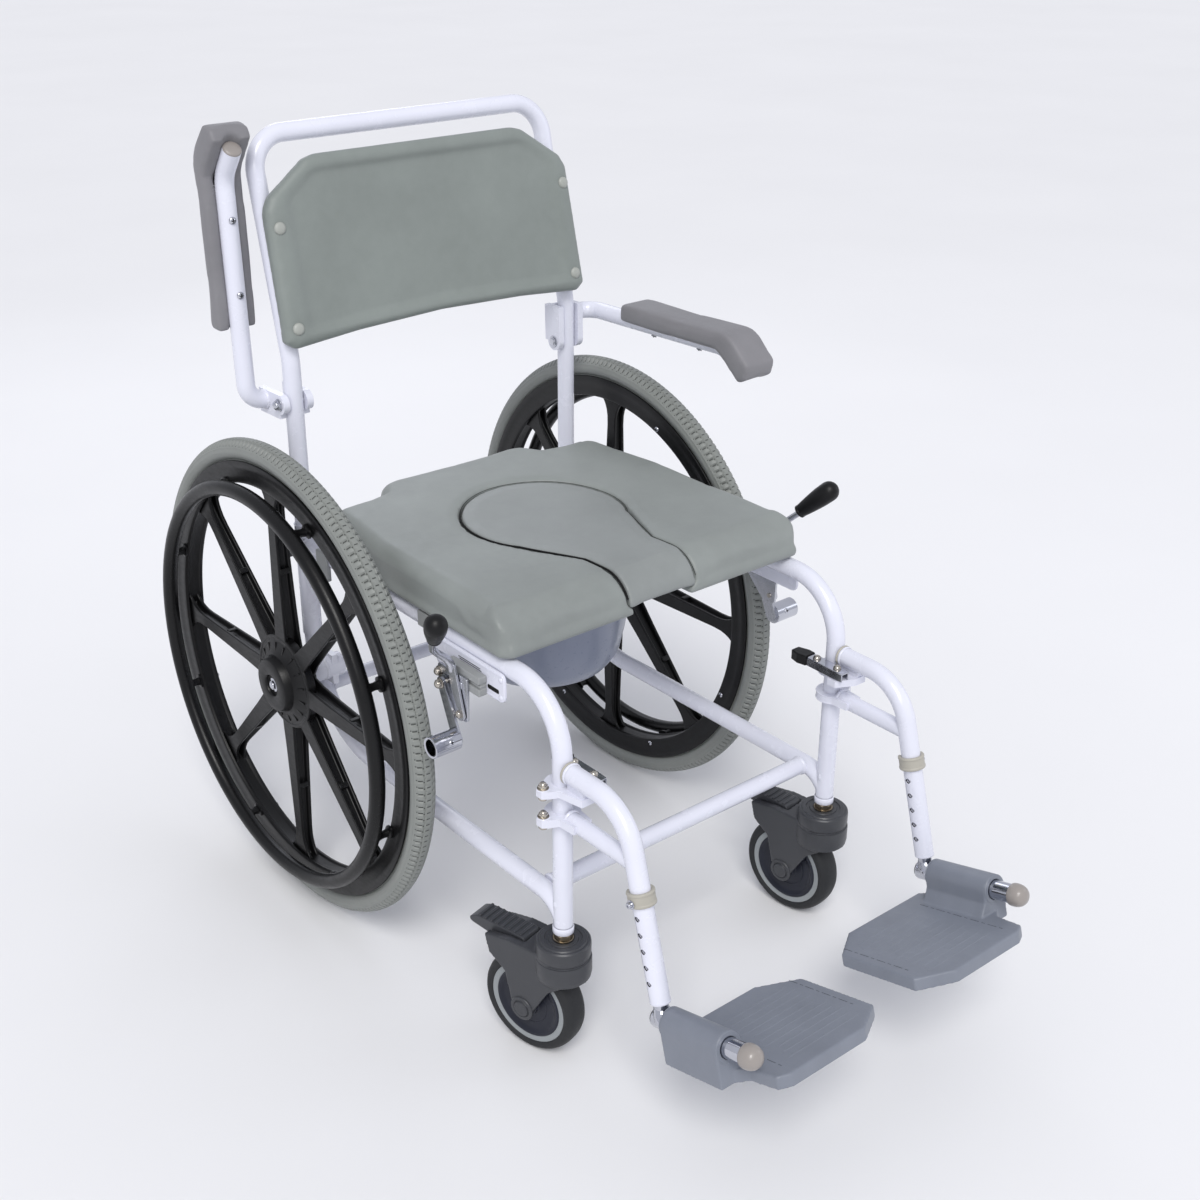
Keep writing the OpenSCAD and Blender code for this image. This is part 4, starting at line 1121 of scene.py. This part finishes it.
def build_hanger(side, H, L):
    body = "hanger_" + side
    # Rolled edges on both clamp rings, and a raised boss under each bolt.
    p = Piece(H)
    for z, t in RINGS:
        for q in (-1, 1):
            p.ring((0, 0, z + q * (t / 2 - 0.9)), UP, [
                (18.4, -0.9), (19.3, -0.6), (19.6, 0.1), (19.3, 0.7), (18.4, 0.9)], 72)
        p.lathe((24, 2, z + t / 2 - 0.6), UP, [(7.4, 0), (7.2, 0.7), (6.6, 1), (0, 1)], 32)
    p.weld((0, -15.2, 324), FORWARD, 10.2, 2.2, 64, 4)
    p.weld((0, -15.6, 380), FORWARD, 11.6, 1.8, 64, 8)
    p.done("ring_edges_", "enamel", body, 50)
    p = Piece(H)
    for z, t in RINGS:
        p.washer((24, 2, z + t / 2 + 0.3), UP, 6.4, 0.9)
        p.dome_nut((24, 2, z + t / 2 + 1.1), UP, 9, 6.8)
        p.hex_nut((24, 2, z - t / 2 - 0.1), DOWN, 9, 3.8)
        p.tube([(24, 2, z - t / 2 - 5), (24, 2, z - t / 2)], 2.4)
    p.done("ring_nuts_", "nickel", body, node="hanger_bolts_" + side)
    # Bumper ring at the butt of the hanger tube.
    p = Piece(H)
    p.ring((0, 0, 380), FORWARD, [(11.1, 11.2), (12.2, 11.4), (12.6, 12.2), (12.6, 13), (12, 13.9),
                                  (11.1, 14)], 56)
    p.done("bumper_", "clip", body, 40)
    # Height clip: a band open at the back, and a chrome bolt.
    p = Piece(L)
    seg, gap = 44, 26
    edge = [(11.15, -7.6), (14, -7.9), (14.9, -7.2), (15.1, -5.2), (14.5, -4.4)]
    rings = []
    for i in range(seg + 1):
        a = math.radians(90 + gap + (360 - 2 * gap) * i / seg)
        rings.append(p.ring_of(L.p(r * math.cos(a), r * math.sin(a), 137 + z) for r, z in mirrored(edge)))
    p.skin(rings)
    p.done("leg_band_", "clip", body, 35, 0.35, node="leg_clip_" + side)
    p = Piece(L)
    p.lathe((14.4, 0, 134), OUT, [(0, 0), (5, 0), (5.2, 0.4), (5, 1), (3.4, 1.1), (3.4, 4), (2.8, 4.8),
                                  (1.4, 4.8), (1.2, 3.8), (0, 3.8)], 32)
    p.done("leg_bolt_", "chrome", body)
    # Pressed-in edges of the five height holes, near black as painted shade inside the holes, and the leg's lower
    # lip.
    p = Piece(L)
    for i in range(1, 6):
        for q in (-1, 1):
            p.ring((q * 10.5, 0, 134 - i * 18), (q, 0, 0), [(2.6, -1.2), (3.1, 0.1), (3.6, 0), (3.4, -1.2)], 28)
    p.done("hole_rims_", "dark", body, 40)
    p = Piece(L)
    p.ring((0, 0, 20.6), UP, [(8.4, -0.5), (10.4, -0.8), (11.2, 0), (11.3, 1), (10.6, 1.4)], 56)
    p.done("leg_lip_", "enamel", body, 40)


def build_latch(side):
    """A pressed channel on a pin, with a soft grip."""
    body = "latch_" + side
    K = At(side, (FRAME_X - 22, STEM_Y - 24, 359))
    p = Piece(K)
    p.prism(rounded([(-7, -14), (5, -14), (7.5, 4), (7, 41.9), (-7, 41.9), (-7.5, 0)], 2.5), 14, 16, K.p)
    for pts in ([(-7, -13.6), (-7.5, 0), (-7, 41.9), (-5.4, 41.9), (-5.8, 0), (-5.4, -13.6)],
                [(5, -13.6), (7.5, 4), (7, 41.9), (5.4, 41.9), (5.8, 4), (3.5, -13.6)]):
        p.prism(pts, 5.1, 15, K.p)
    p.done("latch_channel_", "chrome", body, 32, 0.5, 3, body)
    p = Piece(K)
    for y in (0, 32):
        p.lathe((0, y, 15.9), UP, [(4.9, 0), (4.9, 0.8), (4.5, 2.2), (3.4, 3.5), (1.8, 4.3), (0, 4.5)], 32)
    p.lathe((0, 0, 0), UP, [(0, -5.4), (1.8, -5.4), (2.5, -4.4), (2.5, 16)], 24)
    p.done("latch_pin_", "nickel", body)
    moulded("latch_grip_soft_" + side, "latch_grip_" + side, 0.7, 7, "grip")


def build_stem(side, L):
    """Chrome stem: pinched at the elbow, with a flared grey cap at its outer end."""
    body = "foot_stem_" + side
    p = Piece(L)
    p.lathe((0, 0, 0), UP, [(7.9, 8), (7.95, 158.8), (7.2, 160), (0, 160)], 40)
    rings, n, seg = [], 16, 32
    for i in range(n + 1):
        t = i / n
        a = t * math.pi / 2
        # From the leg's axis down and round to the hinge axis.
        cy, cz = 0.6 - 12 * (1 - math.cos(a)), 14 - 15 * math.sin(a)
        rx = 8.0 + 3.4 * math.sin(math.pi * min(1, t * 0.9)) + 2.6 * t
        ry = 8.0 + 2.8 * t
        pts = []
        for k in range(seg):
            x, v = rx * math.cos(2 * math.pi * k / seg), ry * math.sin(2 * math.pi * k / seg)
            pts.append(L.p(x, cy + v * math.cos(a), cz - v * math.sin(a)))
        rings.append(p.ring_of(pts))
    p.skin(rings)
    p.lathe((0, 0, 0), FORWARD, [(0, -11.4), (8.8, -11.2), (10.4, -10), (11, -7.5), (11, 126), (0, 126)], 64)
    p.done("stem_", "chrome", body, 40, node=body)
    p = Piece(L)
    p.lathe((0, 0, 0), FORWARD, [
        (11.05, 122.6), (12, 122.8), (12.7, 123.6), (13.1, 126), (13, 129.5), (12.4, 133), (11.1, 136.2),
        (9, 138.8), (6.2, 140.5), (3, 141.4), (0, 141.7)], 64)
    p.done("stem_cap_", "cap", body, 50)


def build_footplate(side, L):
    """A moulding with shallow ribs and dashed lines beside the hinge and the outer edge."""
    body = "footplate_" + side
    moulded("plate_" + side, body, 1.5, 9, "plate")
    p = Piece(L)
    top = -25.0
    for i in range(10):
        y = -126 + i * 11.5
        p.prism([(y - 2, top - 0.3), (y - 0.7, top + 0.28), (y + 0.7, top + 0.28), (y + 2, top - 0.3)],
                -152 + 5 * (i % 2), -50 - 4 * (i % 3))
    # The dashes take the second, dark material: painted shade along the dashed lines.
    for x, y0, n in ((-34.3, -132, 8), (-162.5, -108, 5)):
        for j in range(2 * n):
            y1 = y0 + (12 if j % 2 else 4.5)
            p.prism([(x - 0.6, top - 0.3), (x - 0.1, top + 0.3), (x + 0.1, top + 0.3), (x + 0.6, top - 0.3)],
                    y0, min(y1, -14), L.front_view, 1)
            y0 = y1 + 3.8
            if y0 > -18:
                break
    p.done("plate_ribs_", "plate rib_line", body, 30)
    p = Piece(L)
    for y in (-12.2, -97.6):
        p.ring((0, y, 0), (0, 1, 0), [(12, -0.9), (16.2, -0.9), (16.9, 0), (16.2, 0.9), (12, 0.9)], 56)
    p.done("plate_sleeve_ends_", "plate", body, 40)


RINGS = ((359, 9), (324, 10))
for side in SIDES:
    L = At(side, (FRAME_X, -635.5, 158.3), "X", -16)
    build_hanger(side, At(side, (FRAME_X, STEM_Y, 0)), L)
    build_latch(side)
    build_stem(side, L)
    build_footplate(side, L)

# ---------------------------------------------------------------- pan, runners and clips

PAN_Y, FLANGE_Z, RAIL_Z = -170, 456.2, 463
p = Piece(At("left", (0, PAN_Y, 0)))
p.lathe((0, 0, 0), UP, [
    (0, 312.1), (40, 312.1), (60, 312.3), (66, 313), (72, 314.6), (79, 317.8), (84, 320.8), (90, 328),
    (97.4, 339.8), (104, 370), (110.5, 412), (114.6, 440), (115.9, 455.8), (118.4, 456.2), (126, 456.2),
    (131, 456.6), (132, 458.4), (131.4, 460.6), (127, 461), (116.5, 460.8), (113.8, 459.6), (112.8, 455),
    (111.4, 440), (107.4, 412), (101, 370), (94.6, 342), (87, 330.4), (81, 323.8), (76, 320), (64, 315.6),
    (40, 315.2), (0, 315.2)], 160)
p.done("pan_shell", "pan", "commode_pan", 40, node="commode_pan")
p = Piece(At("left", (0, PAN_Y, 0)))
for q in (-1, 1):
    p.prism(rounded(rect(q * 110, q * 134, -120, 120), 8), FLANGE_Z, 460.8, p.at.p)
for v0, v1 in ((-120, -90), (90, 120)):
    p.prism(rounded(rect(-112, 112, v0, v1), 6), 456.3, 457.4, p.at.p)
p.prism(rounded(rect(-39.6, 39.6, 112, 149.6), 9), 456.3, 460.9, p.at.p)
p.done("pan_flange", "pan", "commode_pan", 40, 0.8, 3)
moulded("runners", "pan_runners", 1.3, 2, "runner")
clips = moulded("seat_clips_soft", "seat_clips", 1.1, 3, "clamp")
for v in clips.data.vertices:
    # The front pair only saddles the rail; the rear pair wraps it.
    x, y, z = mm(v.co)
    if y < -200:
        v.co.z = max(z, RAIL_Z + 0.3 * (z - RAIL_Z)) / MM
        v.co.x = math.copysign((FRAME_X + max(-12.2, min(12.2, abs(x) - FRAME_X))) / MM, v.co.x)
for side in SIDES:
    moulded("lock_knob_soft_" + side, "lock_knob_" + side, 0.8, 5, "caster")
    p = Piece(At(side, (FRAME_X, POST_Y, 470)))
    p.lathe((32, 0, 0), OUT, [(9.4, -0.4), (9.2, 0.5), (8.2, 0.7), (7.6, 0.1), (0, 0.1)], 40)
    p.done("lock_cap_", "grip", "lock_knob_" + side)

# ---------------------------------------------------------------- arm supports and back panel buttons


def build_arm_details(side, lift):
    pivot = (FRAME_X, POST_Y, 643)
    body, pad_x, tube_z = "arm_" + side, ARM_X - FRAME_X, 34
    p = Piece(At(side, pivot))
    for q in (-1, 1):
        p.washer((q * 20.3, 0, 0), (q, 0, 0), 7.6, 1.1)
        p.dome_nut((q * 21.3, 0, 0), (q, 0, 0), 11.4, 6.4 if q > 0 else 2.4)
    p.tube([(-20.4, 0, 0), (20.4, 0, 0)], 3.95, 28)
    p.done("arm_pivot_nuts_", "chrome", "frame", node="arm_pivots" if side == "right" else None)
    R = At(side, pivot, "X", -lift)
    p = Piece(R)
    p.weld((20.2, 0, tube_z), OUT, 11.2, 2.4, 64, 5)
    p.done("arm_weld_", "enamel", body, 60)
    p = Piece(R)
    for y in (-130, -215):
        p.screw((pad_x, y, tube_z - 10.9), DOWN, 4.6, 2.6)
    p.done("arm_screws_", "chrome dark", body, node="arm_fixings_" + side)
    p = Piece(R)
    d = Matrix.Rotation(math.radians(130), 3, "X") @ Vector(UP)
    p.lathe((pad_x, -262.5 + 42 * d.y, tube_z + 42 * d.z), d, [
        (10.6, 0), (10.8, 0.8), (10.4, 2), (8.8, 3), (5, 3.4), (0, 3.5)], 44)
    p.done("arm_plug_", "cap", body, 45)
    # A tiny moulded mark on the pad's underside.
    p = Piece(R)
    p.ring((pad_x + 12, -250, 35.9), DOWN, [(3, 0), (3.6, 0.4), (4.2, 0)], 32)
    p.done("arm_mark_", "arm", body, 45)


ARM_X = 248.4
for side, lift in (("right", 91.5), ("left", 1.5)):
    build_arm_details(side, lift)
p = Piece(At("left", (0, POST_Y, 695), "X", -LEAN_DEG))
for q in (-1, 1):
    for z in CAP_V:
        p.lathe((q * CAP_U, -PW1, z), FORWARD, [
            (6.6, -2.2), (7.2, -0.4), (7, 0.6), (6.2, 1.7), (4.6, 2.6), (2.4, 3.1), (0, 3.2)])
p.done("panel_buttons", "button", "frame", 50, node="panel_caps")

# ---------------------------------------------------------------- stage, lights and camera

fl = bmesh.new()
bmesh.ops.create_grid(fl, x_segments=1, y_segments=1, size=60)
fm = bpy.data.meshes.new("floor")
fl.to_mesh(fm)
fl.free()
floor = new_object("floor", fm)
fn = Nodes("floor_white")
pale = fn.ramp(fn.noise(1.2, 3), [(0.3, (0.80, 0.80, 0.81)), (0.7, (0.82, 0.82, 0.83))])
fm.materials.append(fn.set(Base_Color=pale, Roughness=0.75))


def area(name, at, aim, size, power, colour):
    light = bpy.data.lights.new(name, "AREA")
    light.shape, light.size, light.energy, light.color = "DISK", size, power, colour
    light.spread = math.pi
    o = new_object(name, light)
    o.location = at
    o.rotation_euler = (Vector(aim) - Vector(at)).to_track_quat("-Z", "Y").to_euler()


# A soft sun lights chair and floor alike; three small softboxes add highlights.
sun = bpy.data.lights.new("key", "SUN")
sun.energy, sun.angle, sun.color = 1.60, math.radians(24), (1.0, 0.985, 0.96)
so = new_object("key", sun)
so.rotation_euler = Vector((1.9, 2.3, -3.6)).to_track_quat("-Z", "Y").to_euler()
area("soft_left", (-2.2, -2.4, 2.2), (0, 0, 0.6), 0.9, 12, (1.0, 0.99, 0.97))
area("soft_right", (2.6, -1.6, 1.5), (0, 0, 0.5), 1.2, 5, (0.90, 0.93, 1.0))
area("rear", (1.0, 2.4, 1.8), (0, 0, 0.6), 1.2, 6, (0.88, 0.91, 1.0))
world = bpy.data.worlds.new("world")
scene.world = world
world.use_nodes = True
bg = world.node_tree.nodes["Background"]
bg.inputs["Color"].default_value = (0.90, 0.92, 1.0, 1)
bg.inputs["Strength"].default_value = 0.70

cam = bpy.data.cameras.new("camera")
cam.sensor_width = 36
cam.lens = 48.255
cam.shift_x, cam.shift_y = 0.0151667, 0.0045
cam.clip_end = 50
co = new_object("camera", cam)
az, el = math.radians(-39.08), math.radians(25.96)
co.location = V(-1086.6, -1587.6, 1259.5)
back = Vector((math.sin(az) * math.cos(el), -math.cos(az) * math.cos(el), math.sin(el)))
co.rotation_euler = back.to_track_quat("Z", "Y").to_euler()
scene.camera = co
scene.view_settings.view_transform = "Standard"

bpy.context.view_layer.update()
